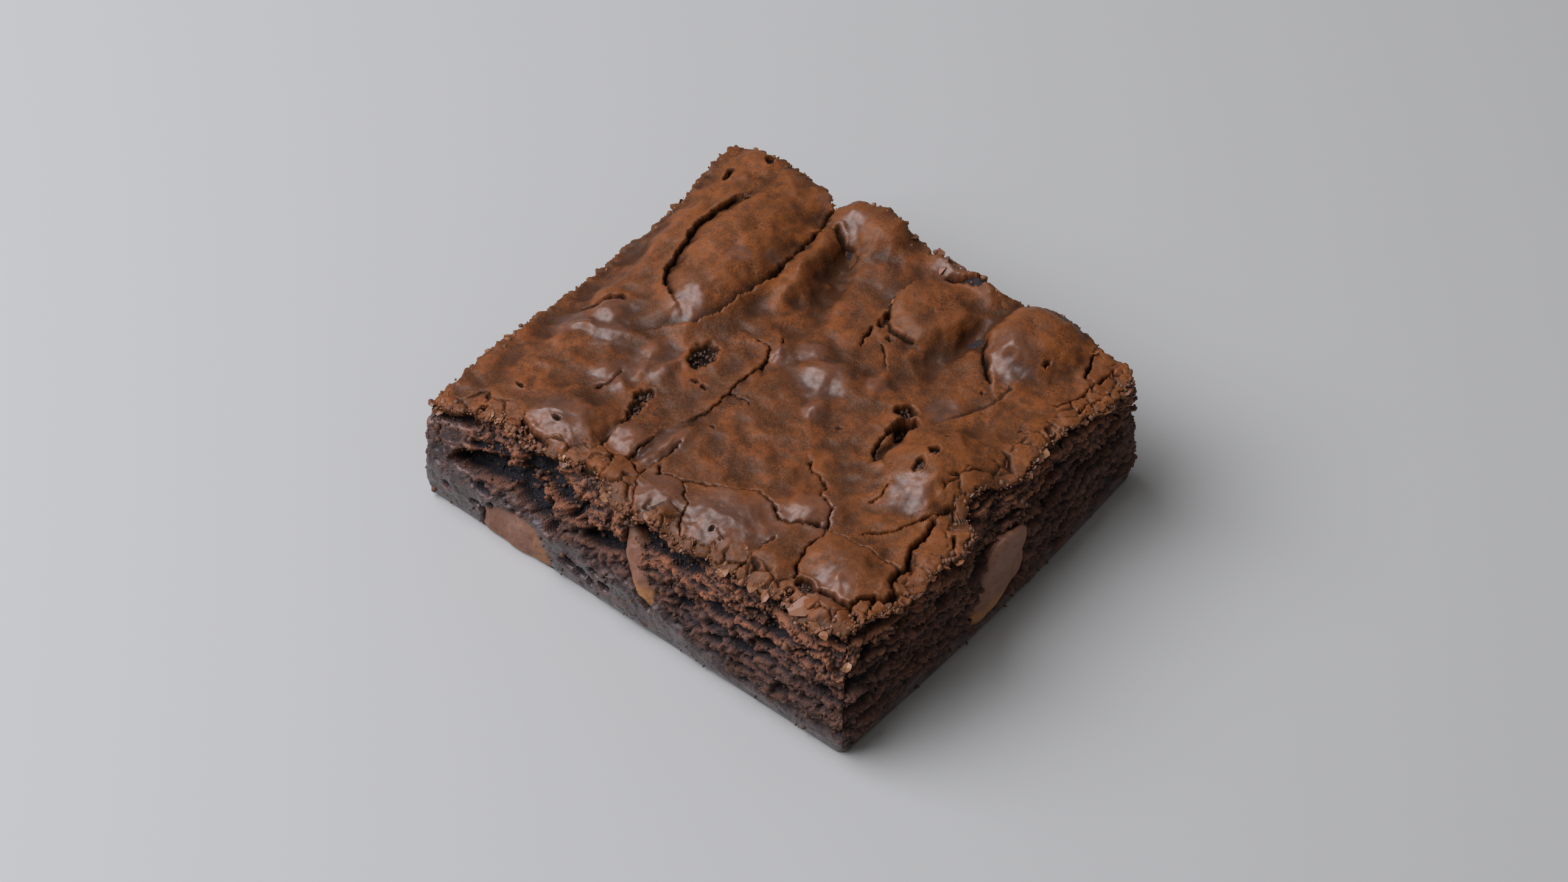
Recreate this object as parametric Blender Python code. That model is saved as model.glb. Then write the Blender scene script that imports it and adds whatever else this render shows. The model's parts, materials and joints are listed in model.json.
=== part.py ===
"""Chocolate brownie: one square cut from a tray bake.

The crumb is a single solid with a lumpy, sunken-in-places top and torn cut sides.
Three lumps of milk chocolate, sliced through by the knife, sit in pockets of the front
and right sides. Lengths are in millimetres until the meshes are built in metres.
The front is -Y, the right side +X, and the origin is the middle of the flat base.
"""

import math

import bmesh
import bpy
from mathutils import Matrix, Vector, noise

METRES_PER_MM = 0.001

# The square, measured between its corners. Its left and right sides bow out between them.
LENGTH = 71.6
WIDTH = 63.6
SIDE_BOW = 0.8
CORNER_RADIUS = 4.0
BASE_TUCK = 0.6
BASE_TUCK_HEIGHT = 2.5

# Crust heights at the corners, and the drop of the crust over its rim.
HEIGHT_FRONT_LEFT = 15.7
HEIGHT_FRONT_RIGHT = 18.9
HEIGHT_BACK_LEFT = 19.6
HEIGHT_BACK_RIGHT = 19.3
SHOULDER_DROP = 1.3
SHOULDER_REACH = 5.0

# Lumps and dips of the crust: x, y, reach along x, reach along y, rise.
CRUST_LUMPS = (
    (-20.0, 14.0, 8.0, 13.0, 2.0),
    (-27.0, 28.0, 4.0, 3.5, 1.0),
    (-5.0, 30.0, 6.5, 6.0, 1.5),
    (9.5, 30.0, 4.5, 3.0, 1.8),
    (21.0, 26.0, 7.5, 6.5, 2.2),
    (24.0, 1.0, 6.5, 7.5, 1.9),
    (2.5, 5.0, 4.0, 4.0, 0.9),
    (-27.0, -3.5, 3.5, 3.5, 1.0),
    (-19.0, -21.0, 6.5, 5.5, 1.1),
    (-34.0, 8.0, 4.5, 12.0, -2.4),
    (14.5, 4.5, 3.0, 4.0, -0.9),
    (-8.0, 18.0, 3.5, 7.0, -0.8),
)
CRUST_ROUGHNESS = 0.35
CRUST_GRAIN = 4.0

# How far the top edge of each side has broken back from the knife cut.
LEAN_START = 0.55
LEAN_REACH = 13.0
FRONT_LEAN = 2.6
BACK_LEAN = 1.2
LEFT_LEAN = 1.3
RIGHT_LEAN = 1.0
# Deeper breaks along an edge: middle, half length, depth.
FRONT_BREAKS = ((-16.0, 6.0, 1.2), (6.5, 5.0, 1.3), (24.0, 4.0, 0.8))
RIGHT_BREAKS = ((1.0, 6.5, 3.2), (12.0, 5.0, 1.4), (-29.0, 4.0, 1.4))

# Layers pulled apart by the knife: spacing, depth, and how they thin out above the base.
LAYER_SPACING = 4.0
LAYER_DEPTH = 0.4
LAYER_WAVINESS = 0.25
LAYER_BASE = 5.0

# Hollows torn in the sides: side, place along it, height, half length, half height, depth.
HOLLOWS = (
    ("front", -20.5, 12.3, 11.5, 2.4, 3.2),
    ("front", -12.5, 6.8, 2.6, 2.4, 1.8),
    ("front", 6.5, 15.8, 6.0, 2.2, 2.0),
    ("right", -5.0, 16.3, 4.0, 2.0, 2.0),
    ("right", 11.5, 12.0, 5.0, 1.8, 1.6),
    ("right", 22.0, 12.4, 6.0, 1.6, 1.6),
)

# The block's slices, which set how finely the surface follows all of this.
SLICES_X = 36
SLICES_Y = 32
SLICES_Z = 15

# Milk chocolate lumps: side, place along it, height, half length, half height, depth, tilt of
# the half length above the horizontal, and how far the cut face leans back with its side.
CHUNKS = {
    "chocolate_chunk_left": ("front", -19.8, 1.4, 6.3, 5.2, 5.5, 0.0, 0.0),
    "chocolate_chunk_middle": ("front", 1.2, 10.0, 5.6, 2.0, 4.5, -55.0, 9.0),
    "chocolate_chunk_right": ("right", 0.1, 7.3, 7.2, 5.1, 6.0, 42.0, 3.0),
}
CHUNK_SQUARENESS = 2.4
CHUNK_PROUD = 0.25
CHUNK_FLOOR = 1.2
CHUNK_SEGMENTS = 24
CHUNK_RINGS = 14
GAP = 0.3

CRUMB_COLOUR = (0.058, 0.036, 0.028, 1.0)
CHOCOLATE_COLOUR = (0.145, 0.078, 0.053, 1.0)
CRUMB_ROUGHNESS = 0.85
CHOCOLATE_ROUGHNESS = 0.45


def material(name, colour, roughness):
    """A plain non-metal surface."""
    made = bpy.data.materials.new(name)
    made.use_nodes = True
    shader = made.node_tree.nodes["Principled BSDF"]
    shader.inputs["Base Color"].default_value = colour
    shader.inputs["Roughness"].default_value = roughness
    shader.inputs["Metallic"].default_value = 0.0
    return made


def add_object(name, mesh, surface):
    """Puts a bmesh, in millimetres, into the scene as a named object in metres."""
    bmesh.ops.transform(mesh, matrix=Matrix.Scale(METRES_PER_MM, 4), verts=mesh.verts)
    data = bpy.data.meshes.new(name)
    mesh.to_mesh(data)
    mesh.free()
    data.materials.append(surface)
    made = bpy.data.objects.new(name, data)
    bpy.context.scene.collection.objects.link(made)
    return made


def smooth_step(value):
    """0 below 0, 1 above 1, and a smooth S between them."""
    value = min(max(value, 0.0), 1.0)
    return value * value * (3.0 - 2.0 * value)


def hill(distance):
    """1 at distance 0, falling smoothly to 0 at distance 1 and beyond."""
    return (1.0 - min(distance * distance, 1.0)) ** 2


def crust_height(x, y):
    """Height of the crust: a plane bent through the four corners, plus the lumps."""
    across = 0.5 + x / LENGTH
    along = 0.5 + y / WIDTH
    front = HEIGHT_FRONT_LEFT * (1.0 - across) + HEIGHT_FRONT_RIGHT * across
    back = HEIGHT_BACK_LEFT * (1.0 - across) + HEIGHT_BACK_RIGHT * across
    height = front * (1.0 - along) + back * along
    for lump_x, lump_y, reach_x, reach_y, rise in CRUST_LUMPS:
        squared = ((x - lump_x) / reach_x) ** 2 + ((y - lump_y) / reach_y) ** 2
        height += rise * math.exp(-squared)
    grain = noise.noise(Vector((x / CRUST_GRAIN, y / CRUST_GRAIN, 0.0)))
    return height + CRUST_ROUGHNESS * grain


def break_depth(along, breaks):
    """How much deeper an edge has broken back at a place along it."""
    return sum(depth * hill((along - middle) / half) for middle, half, depth in breaks)


def side_depth(side, along, height):
    """How far the cut face of a side lies behind the knife's plane: layers and hollows."""
    drift = noise.noise(Vector((along / 14.0, height / 30.0, 3.0 if side == "front" else 9.0)))
    turn = 2.0 * math.pi * (height / LAYER_SPACING + 2.0 * LAYER_WAVINESS * drift)
    fade = smooth_step((height - LAYER_BASE) / LAYER_BASE)
    depth = LAYER_DEPTH * fade * (1.0 - math.cos(turn))
    for hollow_side, middle, level, half_length, half_height, hollow_depth in HOLLOWS:
        if hollow_side == side:
            reach = math.hypot((along - middle) / half_length, (height - level) / half_height)
            depth += hollow_depth * hill(reach)
    return depth


def brownie_point(corner):
    """Moves a point of the sliced block, whose faces are at -1 and 1, onto the brownie."""
    x = corner.x * LENGTH / 2.0
    y = corner.y * WIDTH / 2.0
    share = (corner.z + 1.0) / 2.0
    core_x = min(max(x, CORNER_RADIUS - LENGTH / 2.0), LENGTH / 2.0 - CORNER_RADIUS)
    core_y = min(max(y, CORNER_RADIUS - WIDTH / 2.0), WIDTH / 2.0 - CORNER_RADIUS)
    out = Vector((x - core_x, y - core_y))
    rim = max(abs(out.x), abs(out.y))
    if rim > 0.0:
        out *= rim / out.length
    x, y = core_x + out.x, core_y + out.y

    edge_distance = CORNER_RADIUS - rim
    if rim == 0.0:
        edge_distance = min(LENGTH / 2.0 - abs(x), WIDTH / 2.0 - abs(y))
    top = crust_height(x, y) - SHOULDER_DROP * hill(edge_distance / SHOULDER_REACH)
    height = share * top

    bow = SIDE_BOW * math.cos(math.pi * y / WIDTH) * (2.0 * x / LENGTH) ** 3
    lean = smooth_step((share - LEAN_START) / (1.0 - LEAN_START))
    to_right = hill((LENGTH / 2.0 - x) / LEAN_REACH)
    to_left = hill((LENGTH / 2.0 + x) / LEAN_REACH)
    to_back = hill((WIDTH / 2.0 - y) / LEAN_REACH)
    to_front = hill((WIDTH / 2.0 + y) / LEAN_REACH)
    moved_x = x + bow + lean * LEFT_LEAN * to_left
    moved_x -= lean * to_right * (RIGHT_LEAN + break_depth(y, RIGHT_BREAKS))
    moved_y = y - lean * BACK_LEAN * to_back
    moved_y += lean * to_front * (FRONT_LEAN + break_depth(x, FRONT_BREAKS))

    if share < 1.0 and rim > 0.0:
        tuck = BASE_TUCK * (1.0 - min(height / BASE_TUCK_HEIGHT, 1.0)) ** 2
        outward = out.normalized()
        if abs(outward.y) > abs(outward.x):
            depth = side_depth("front" if y < 0.0 else "back", x, height)
        else:
            depth = side_depth("right" if x > 0.0 else "left", y, height)
        inset = tuck + depth * smooth_step(share / 0.2)
        moved_x -= outward.x * inset
        moved_y -= outward.y * inset
    return Vector((moved_x, moved_y, height))


def brownie_mesh():
    """A cube sliced into a fine grid, its base joined back to one face, then shaped."""
    mesh = bmesh.new()
    bmesh.ops.create_cube(mesh, size=2.0)
    for normal, slices in (((1, 0, 0), SLICES_X), ((0, 1, 0), SLICES_Y), ((0, 0, 1), SLICES_Z)):
        for step in range(1, slices):
            place = Vector(normal) * (2.0 * step / slices - 1.0)
            everything = mesh.verts[:] + mesh.edges[:] + mesh.faces[:]
            bmesh.ops.bisect_plane(mesh, geom=everything, plane_co=place, plane_no=normal)
    mesh.normal_update()
    base = [face for face in mesh.faces if face.normal.z < -0.9]
    bmesh.ops.dissolve_faces(mesh, faces=base)
    for vertex in mesh.verts:
        vertex.co = brownie_point(vertex.co)
    return mesh


def chunk_mesh(place, grow, sliced):
    """A lump with rounded squarish section, tilted in its side, with its underside cut flat.
    Grown by the gap it is the pocket; sliced it ends just proud of the knife cut."""
    side, along, height, half_length, half_height, depth, tilt, face_lean = place
    mesh = bmesh.new()
    bmesh.ops.create_uvsphere(
        mesh, u_segments=CHUNK_SEGMENTS, v_segments=CHUNK_RINGS, radius=1.0
    )
    turn = Matrix.Rotation(math.radians(90.0), 3, "X")
    for vertex in mesh.verts:
        vertex.co = turn @ vertex.co
        length = sum(abs(part) ** CHUNK_SQUARENESS for part in vertex.co)
        vertex.co /= length ** (1.0 / CHUNK_SQUARENESS)
        vertex.co.x *= half_length + grow
        vertex.co.y *= depth + grow
        vertex.co.z *= half_height + grow
    tilted = Matrix.Rotation(math.radians(-tilt), 4, "Y")
    if side == "front":
        set_in = Matrix.Translation((along, -WIDTH / 2.0, height)) @ tilted
        outward = Vector((0.0, -1.0, 0.0))
    else:
        bow = SIDE_BOW * math.cos(math.pi * along / WIDTH)
        middle = (LENGTH / 2.0 + bow, along, height)
        set_in = Matrix.Translation(middle) @ Matrix.Rotation(math.radians(90.0), 4, "Z") @ tilted
        outward = Vector((1.0, 0.0, 0.0))
    bmesh.ops.transform(mesh, matrix=set_in, verts=mesh.verts)
    cuts = [(Vector((0.0, 0.0, CHUNK_FLOOR - grow)), Vector((0.0, 0.0, -1.0)))]
    if sliced:
        lowest = min(vertex.co.z for vertex in mesh.verts)
        foot = set_in.translation + outward * CHUNK_PROUD
        foot.z = max(lowest, CHUNK_FLOOR)
        slope = math.radians(face_lean)
        cuts.append((foot, outward * math.cos(slope) + Vector((0.0, 0.0, math.sin(slope)))))
    for point, normal in cuts:
        everything = mesh.verts[:] + mesh.edges[:] + mesh.faces[:]
        bmesh.ops.bisect_plane(
            mesh, geom=everything, plane_co=point, plane_no=normal, clear_outer=True
        )
        open_edges = [edge for edge in mesh.edges if edge.is_boundary]
        if open_edges:
            bmesh.ops.contextual_create(mesh, geom=open_edges)
    bmesh.ops.recalc_face_normals(mesh, faces=mesh.faces)
    return mesh


def cut_pocket(target, name, place, surface):
    """Cuts a lump's pocket out of the crumb with a Boolean."""
    cutter = add_object(name + "_pocket", chunk_mesh(place, GAP, sliced=False), surface)
    cutter.hide_render = True
    cutter.display_type = "WIRE"
    cut = target.modifiers.new(name + "_pocket", "BOOLEAN")
    cut.operation = "DIFFERENCE"
    cut.solver = "EXACT"
    cut.object = cutter


for old in list(bpy.data.objects):
    bpy.data.objects.remove(old)

crumb = material("crumb", CRUMB_COLOUR, CRUMB_ROUGHNESS)
milk_chocolate = material("milk_chocolate", CHOCOLATE_COLOUR, CHOCOLATE_ROUGHNESS)

brownie = add_object("brownie", brownie_mesh(), crumb)
for chunk_name, chunk_place in CHUNKS.items():
    chunk = add_object(chunk_name, chunk_mesh(chunk_place, 0.0, sliced=True), milk_chocolate)
    chunk.data.shade_smooth()
    chunk.data.set_sharp_from_angle(angle=math.radians(40.0))
    cut_pocket(brownie, chunk_name, chunk_place, milk_chocolate)
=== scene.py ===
import json
import math

import bpy
import numpy as np
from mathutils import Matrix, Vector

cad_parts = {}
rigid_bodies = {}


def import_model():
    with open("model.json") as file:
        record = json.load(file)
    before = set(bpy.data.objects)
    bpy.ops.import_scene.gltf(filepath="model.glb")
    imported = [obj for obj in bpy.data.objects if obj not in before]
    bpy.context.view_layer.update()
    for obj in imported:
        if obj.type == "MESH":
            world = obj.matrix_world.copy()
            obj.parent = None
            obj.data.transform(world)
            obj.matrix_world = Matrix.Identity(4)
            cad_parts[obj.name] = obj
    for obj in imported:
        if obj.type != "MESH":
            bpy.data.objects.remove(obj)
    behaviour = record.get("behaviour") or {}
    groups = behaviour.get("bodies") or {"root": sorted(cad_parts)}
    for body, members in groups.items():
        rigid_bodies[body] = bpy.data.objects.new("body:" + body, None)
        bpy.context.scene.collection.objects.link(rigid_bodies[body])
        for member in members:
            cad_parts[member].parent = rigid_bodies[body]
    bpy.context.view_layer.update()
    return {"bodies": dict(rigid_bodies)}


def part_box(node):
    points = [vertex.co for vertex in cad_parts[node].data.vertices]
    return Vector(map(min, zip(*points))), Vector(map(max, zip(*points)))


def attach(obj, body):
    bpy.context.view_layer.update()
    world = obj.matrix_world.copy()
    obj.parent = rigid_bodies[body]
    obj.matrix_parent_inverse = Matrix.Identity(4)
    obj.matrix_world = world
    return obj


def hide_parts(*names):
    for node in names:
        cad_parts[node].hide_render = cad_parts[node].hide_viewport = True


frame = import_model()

whole_body = next(iter(frame["bodies"]))
METRES_PER_MM = 0.001

# ----------------------------------------
# The crust: a skin of sugar and egg that sets before the crumb under it rises and falls, so it is
# lumpy, folded and cracked, and breaks in small plates along the knife cuts. It is one closed shell,
# half a millimetre thick at its rim.
# ----------------------------------------

# The block under it, in millimetres, from the frame: half sizes at the corners, and the side's bow.
SIDE_BOW = 0.8
brownie_low, brownie_high = (np.array(corner) / METRES_PER_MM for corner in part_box("brownie"))
HALF_LENGTH = (brownie_high[0] - brownie_low[0]) / 2.0 - SIDE_BOW
HALF_WIDTH = (brownie_high[1] - brownie_low[1]) / 2.0
CORNER_RADIUS = 1.4
HEIGHTS = {"front_left": 15.6, "front_right": 18.8, "back_left": 20.3, "back_right": 19.9}

# How far the crust's rim lies behind each cut face: place along the side, distance.
FRONT_RIM = (
    (-36, 1.6), (-33, 3.4), (-30, 4.6), (-26, 5.4), (-21, 4.6), (-16, 5.0), (-11, 5.8), (-7, 4.2),
    (-3, 3.0),
    (1, 3.8), (7, 3.0), (10, 4.0), (13, 3.2), (20, 3.6), (22, 4.4), (27, 2.8), (30, 2.4), (33, 4.0),
    (36, 4.0),
)
RIGHT_RIM = (
    (-32, 2.8), (-28, 2.8), (-24, 1.8), (-19, 0.7), (-14, 1.3), (-9, 0.7), (-5, 1.2), (-3, 3.8),
    (-1, 5.4), (2, 5.0), (5, 3.0), (8, 2.3), (12, 3.0), (17, 2.5), (20, 1.6), (25, 0.6), (30, 0.8),
    (32, 0.6),
)
LEFT_RIM = ((-32, 0.0), (-20, 0.3), (-8, 0.8), (0, 1.0), (8, 1.1), (15, 2.0), (20, 2.0), (32, 0.6))
BACK_RIM = (
    (-36, 0.0), (-24, -0.6), (-18, 0.4), (-15.5, 1.9), (-13, -0.4), (-8, -0.6), (-2, 0.1), (4, 0.3),
    (9, 0.2), (12, 1.2), (15, 0.1), (21, -0.2), (26, -0.4), (30, 0.4), (36, 0.8),
)
RIM_REACH = 13.0

# Lumps and dips: x, y, half sizes, turn in degrees, rise, and how flat-topped (2 is a plain bell).
LUMPS = (
    (-20.8, 14, 6.4, 12.4, 6, 3, 3.8), (-31.6, 14, 2.4, 10, 4, 0.9, 2),
    (-21, 29.5, 6, 3.6, 0, 1, 2.4), (-30, 30, 3, 2.6, 0, 0.8, 2),
    (-28.6, 24.5, 1.8, 3.6, 15, 0.5, 2), (-35.5, 5, 4.5, 13, 0, -2, 2),
    (-11.6, 19.5, 1.7, 8, 8, 1.9, 2.2), (-7.2, 19.5, 1.9, 7.5, 15, -1.3, 2),
    (-8, 30.3, 5.4, 3.6, -12, 2.3, 3.4), (-1.5, 26.5, 4.5, 4, 0, 0.6, 2),
    (7, 22.6, 5.6, 4.8, 0, 1.2, 5), (9.8, 30.4, 3.6, 1.7, -4, 1.5, 2.2),
    (2.6, 31, 2.6, 1.4, -20, 0.9, 2), (21, 27, 6, 5, 12, 2.8, 4.2),
    (20.6, 21.4, 3.6, 2.4, -28, 0.9, 2.6), (24.4, 0.6, 5.8, 6.6, -8, 2.4, 3.2),
    (2.9, 5.4, 3.3, 1.9, 12, 1.1, 2.6), (-1, 7.6, 1.9, 1.1, 22, 0.5, 2.2),
    (9, 8.2, 0.9, 1.8, 12, 0.5, 2.2), (5.4, -0.6, 0.9, 1.7, -6, 0.35, 2.2),
    (-4.6, 4.2, 0.9, 1.8, 20, 0.45, 2.2), (-27.6, -3.2, 2.6, 1.9, -12, 1.2, 2.6),
    (-27.2, -6.6, 4.8, 0.9, 20, 0.55, 2.2), (-31.8, -0.6, 1.6, 1.3, 0, 0.6, 2.2),
    (-18.6, -5.4, 1.1, 2.4, 12, 0.55, 2.2), (-14.8, -6.2, 0.8, 2.4, -14, 0.55, 2.2),
    (-16.9, -8.6, 0.9, 1.6, 10, 0.45, 2.2), (-21.4, -11.4, 1.3, 1, 0, 0.55, 2.4),
    (-18.3, -12.4, 1.4, 1.1, 0, 0.6, 2.4), (-30.8, -11.2, 1.5, 0.8, 35, 0.4, 2.2),
    (-19.6, -21.6, 6, 4.2, -8, 1.4, 2.8), (-10.8, -19, 2.2, 2.5, 0, 0.8, 4.5),
    (-5.6, -15.2, 0.9, 2.6, -14, 0.65, 2.4), (-6.6, -20, 0.8, 1.7, -6, 0.5, 2.4),
    (-9.2, -24.6, 3.6, 2, 10, 0.8, 2.6), (1.2, -26.8, 1.6, 1.5, 0, 1, 3.2),
    (-1.4, -23.4, 2.6, 2.6, 0, 0.6, 2.6), (8.2, -21, 5.4, 4.2, 22, 1, 3),
    (16.4, -14.2, 3.4, 2, 26, 0.8, 2.8), (26.2, -19.4, 5.6, 3.6, -14, 1.5, 3),
    (17.6, -24.6, 2.3, 3.6, 0, 0.6, 3.2), (33.6, -11.2, 1.8, 3.2, 4, 0.5, 3.4),
    (31, 12, 4, 9, -6, 0.5, 2.6), (28.6, -26.4, 3.2, 1.6, 6, 0.7, 2.8),
    (17, 1.4, 1, 3.4, 6, -1.3, 4), (14, 22, 1.8, 7, -14, -1.3, 2),
    (14, 13, 4, 4, 0, -0.8, 2),
    (14, -4, 5, 4.5, 0, -0.4, 2), (-10, -11, 5, 5, 0, -0.4, 2),
)

# Folds and cracks: points along the line, half width, depth, and how much its left side stands up.
FOLDS = (
    (((-26.8, 22), (-27.8, 18.5), (-28.2, 15.5), (-27.4, 12), (-26.6, 9), (-26, 6.5), (-24.5, 4.2),
      (-23, 3.4)), 0.20, 0.9, -0.9),
    (((-15.6, 31.8), (-15, 28), (-14.3, 25), (-14, 20), (-13.9, 16), (-13.7, 12.5)), 0.16, 1.1, 0.0),
    (((-13.7, 12.5), (-14.2, 10.5), (-14.8, 8), (-15.3, 5), (-16.8, 1.5), (-19, -0.5)), 0.12, 0.4, 0.55),
    (((-12.6, 26.6), (-10.6, 25.4), (-8.9, 25.2)), 0.30, 1.1, 0.5),
    (((2, 24.4), (1.6, 22), (1.9, 20), (3.4, 17.6), (5.4, 16.6), (8.2, 16.8)), 0.14, 0.5, 0.5),
    (((15.8, 23), (17.2, 20.8), (19, 19), (20.6, 17.6)), 0.20, 0.9, 0.5),
    (((23.6, 18), (23.4, 15), (22, 12), (20.4, 8.6)), 0.30, 0.3, 0.3),
    (((15.6, 4), (15.6, 0.6), (16.2, -1.6), (17.9, -2.4)), 0.14, 0.7, -0.3),
    (((5.2, 29), (6.6, 29.4), (8.2, 30.4), (10, 31.2)), 0.40, 1.9, 0.0),
    (((0.4, 31.4), (3, 31.6), (5, 31.2)), 0.25, 1.2, 0.0),
    (((-19.4, -10.6), (-19.3, -12), (-19.4, -13.4), (-20.2, -14.6)), 0.10, 0.6, 0.0),
    (((-31.8, -3.6), (-30.4, -2.8), (-29.6, -1.2), (-28.2, -0.1)), 0.45, 1.1, 0.0),
)
CRACKS = (
    (((-13.1, -17), (-13, -20), (-12.9, -23.4)), 0.06, 0.4, 0.25),
    (((-12.5, -22.2), (-11, -22.7), (-9.5, -21.9), (-8, -21.6), (-6.5, -22.6), (-5.6, -22.8)),
     0.13, 1.0, -0.25),
    (((-8.4, -17), (-8.6, -19), (-8.5, -21.4)), 0.06, 0.4, -0.2),
    (((-5, -15.6), (-4.7, -18), (-5.2, -21), (-5.6, -22.8), (-4.2, -25.4), (-3, -27.6)), 0.07, 0.5, 0.2),
    (((-4.2, -20.5), (-3.4, -21.5), (-2, -20.5), (-0.3, -20.6), (0.8, -19.7), (2.2, -19.3),
      (4, -18.6), (6.5, -17.9), (7.6, -16.8), (9, -16), (11.2, -16.2), (12.6, -17.3), (14.2, -17.9),
      (15.5, -17.6), (17.3, -16.2), (18.7, -15.6), (20.2, -15.9)), 0.14, 1.1, -0.2),
    (((20.2, -15.9), (22.5, -15.6), (25, -15.6), (27, -15.3), (29, -15.4), (31.5, -15)),
     0.08, 0.7, -0.1),
    (((20.2, -15.9), (20.3, -17.5), (19.8, -18.7), (20.1, -20.5), (20.6, -22.6), (21.8, -24.2)),
     0.13, 1.0, 0.15),
    (((15.4, -20.7), (15.2, -23), (14.9, -25.5), (14.7, -28.4)), 0.07, 0.6, 0.25),
    (((0, -20.7), (1.5, -22.3), (3, -22.9), (3.3, -24.5), (4.2, -26.5), (5.3, -27.5)), 0.07, 0.6, 0.1),
    (((30.7, -2.9), (30.2, -4.5), (29, -6), (28.3, -7.5), (27.4, -9.5), (26.8, -11), (25, -12.3),
      (24, -13.5)), 0.11, 0.9, 0.1),
    (((30, -6.5), (30.5, -8.5), (30.3, -11), (31, -13), (32.2, -14.2), (31.6, -15.5), (31.7, -17.2),
      (32.8, -18.6), (34.5, -18.5), (35.6, -17.5)), 0.22, 1.3, -0.25),
    (((30.5, -23.5), (31.2, -21.8), (32.6, -21), (34.2, -20.4)), 0.12, 1.0, 0.2),
    (((32, -21), (32.5, -22.5), (33, -24.2)), 0.13, 1.0, 0.2),
    (((25.2, -24.4), (27.5, -24.2), (30.5, -24.1), (32.6, -25.2)), 0.15, 1.1, 0.35),
    (((33.5, -6.5), (34.7, -8.5), (36, -10.5)), 0.13, 1.0, 0.2),
    (((10.8, -7.8), (11.5, -8.6), (13.5, -9), (15.3, -10.2), (15.5, -11.4), (17, -12.1),
      (18.4, -12.6), (18.6, -13.5), (20.2, -15.9)), 0.08, 0.7, 0.2),
    (((28.3, 30.5), (29.6, 27.5), (30, 26), (31.9, 25.9)), 0.10, 0.8, -0.15),
    (((32.2, 29.5), (32, 26), (31.7, 23), (30.8, 20.5), (30.2, 19.2)), 0.13, 1.0, 0.2),
    (((34.3, 24), (33, 22), (33.6, 19.6), (32.4, 18.4)), 0.10, 0.8, 0.2),
    (((21.8, -5.5), (21.9, -6.8)), 0.09, 0.7, 0.0), (((21.9, -7.6), (21.4, -8.6)), 0.10, 0.8, 0.0),
    (((-4.6, 1), (-5.3, 3), (-6.5, 4.6), (-8.5, 4.6)), 0.08, 0.6, 0.15),
    (((-5.3, 6), (-6, 6.8)), 0.12, 0.8, 0.2),
    (((-5.5, -5), (-4.5, -4.6), (-2, -4.8)), 0.05, 0.4, 0.0),
    (((-4.8, 2.4), (-5.6, -2), (-5.5, -5), (-5.6, -9), (-6.6, -11.2)), 0.06, 0.3, -0.25),
    (((3, 12.5), (2.4, 14.5), (2.3, 16)), 0.08, 0.7, 0.1),
    (((5, 14.2), (6.5, 13.2), (8, 11.5)), 0.06, 0.4, 0.1),
    (((-24.4, -24.7), (-22.6, -25.4), (-20.6, -26), (-18.6, -26.2)), 0.14, 0.9, 0.5),
    (((-13.2, -26.2), (-11, -26.1), (-9.4, -26.5)), 0.16, 0.9, 0.2),
)

# Holes where the skin is gone and crumb shows: x, y, half sizes, turn in degrees, depth.
HOLES = (
    (-12.6, -1.9, 1.8, 2.3, 0, 0.7), (-14.3, -11.8, 1.1, 1.4, -15, 0.7), (-13.7, -14.4, 1, 1.4, 10, 0.9),
    (-13.1, -16.6, 0.5, 0.8, 0, 0.8), (15.2, 6.7, 1.5, 1.2, 25, 1.1), (16.7, 4.3, 1.3, 1.9, -20, 2.2),
    (23.7, 1.7, 0.8, 0.9, 0, 1), (23.5, -1.3, 0.7, 1.2, 8, 0.8), (23.6, -24.6, 1.5, 0.9, -8, 1),
    (22.4, -26.9, 0.7, 1.4, 0, 1.1), (2.6, 17.9, 0.6, 1.5, 12, 1.6), (25.3, 23.7, 0.4, 0.6, -20, 1.2),
    (5.3, 15.6, 0.5, 0.35, 10, 0.8), (-23.6, -26.5, 1, 0.9, 10, 1.8), (-31.5, 26, 0.6, 1.1, 20, 1.3),
    (-28.1, 31, 0.6, 0.9, 20, 1.2), (-25.6, 23.2, 0.4, 0.6, 0, 0.8), (-10.5, -5.9, 0.5, 0.3, 20, 0.5),
    (-8.7, -6.1, 0.7, 0.3, -10, 0.5), (9.9, -0.7, 0.35, 0.3, 0, 0.5), (23.1, 5.2, 0.35, 0.2, 20, 0.4),
    (29.3, 12.7, 0.3, 0.3, 0, 0.4), (21, 15.6, 0.25, 0.25, 0, 0.4), (-28.7, -20.4, 0.6, 0.3, 0, 0.4),
    (8.2, -24.7, 0.4, 0.4, 0, 0.3), (-20.1, -22.8, 0.6, 0.4, -10, 0.4), (-3.4, -10.8, 0.4, 0.25, 0, 0.4),
    (-31.3, -24, 0.3, 0.6, 20, 0.6), (-30.4, -26.4, 0.4, 1.2, -20, 1), (10.8, -7.9, 0.3, 0.2, 0, 0.4),
    (33.8, -20, 0.7, 1.2, 10, 1.4), (32.2, -14.1, 0.4, 0.4, 0, 1.2), (8.6, 30.3, 1.6, 0.7, 15, 1.5),
    (-10, -27, 1.4, 0.7, -8, 0.8), (-2.2, -28.6, 0.9, 0.7, 0, 0.9),
)

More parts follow.
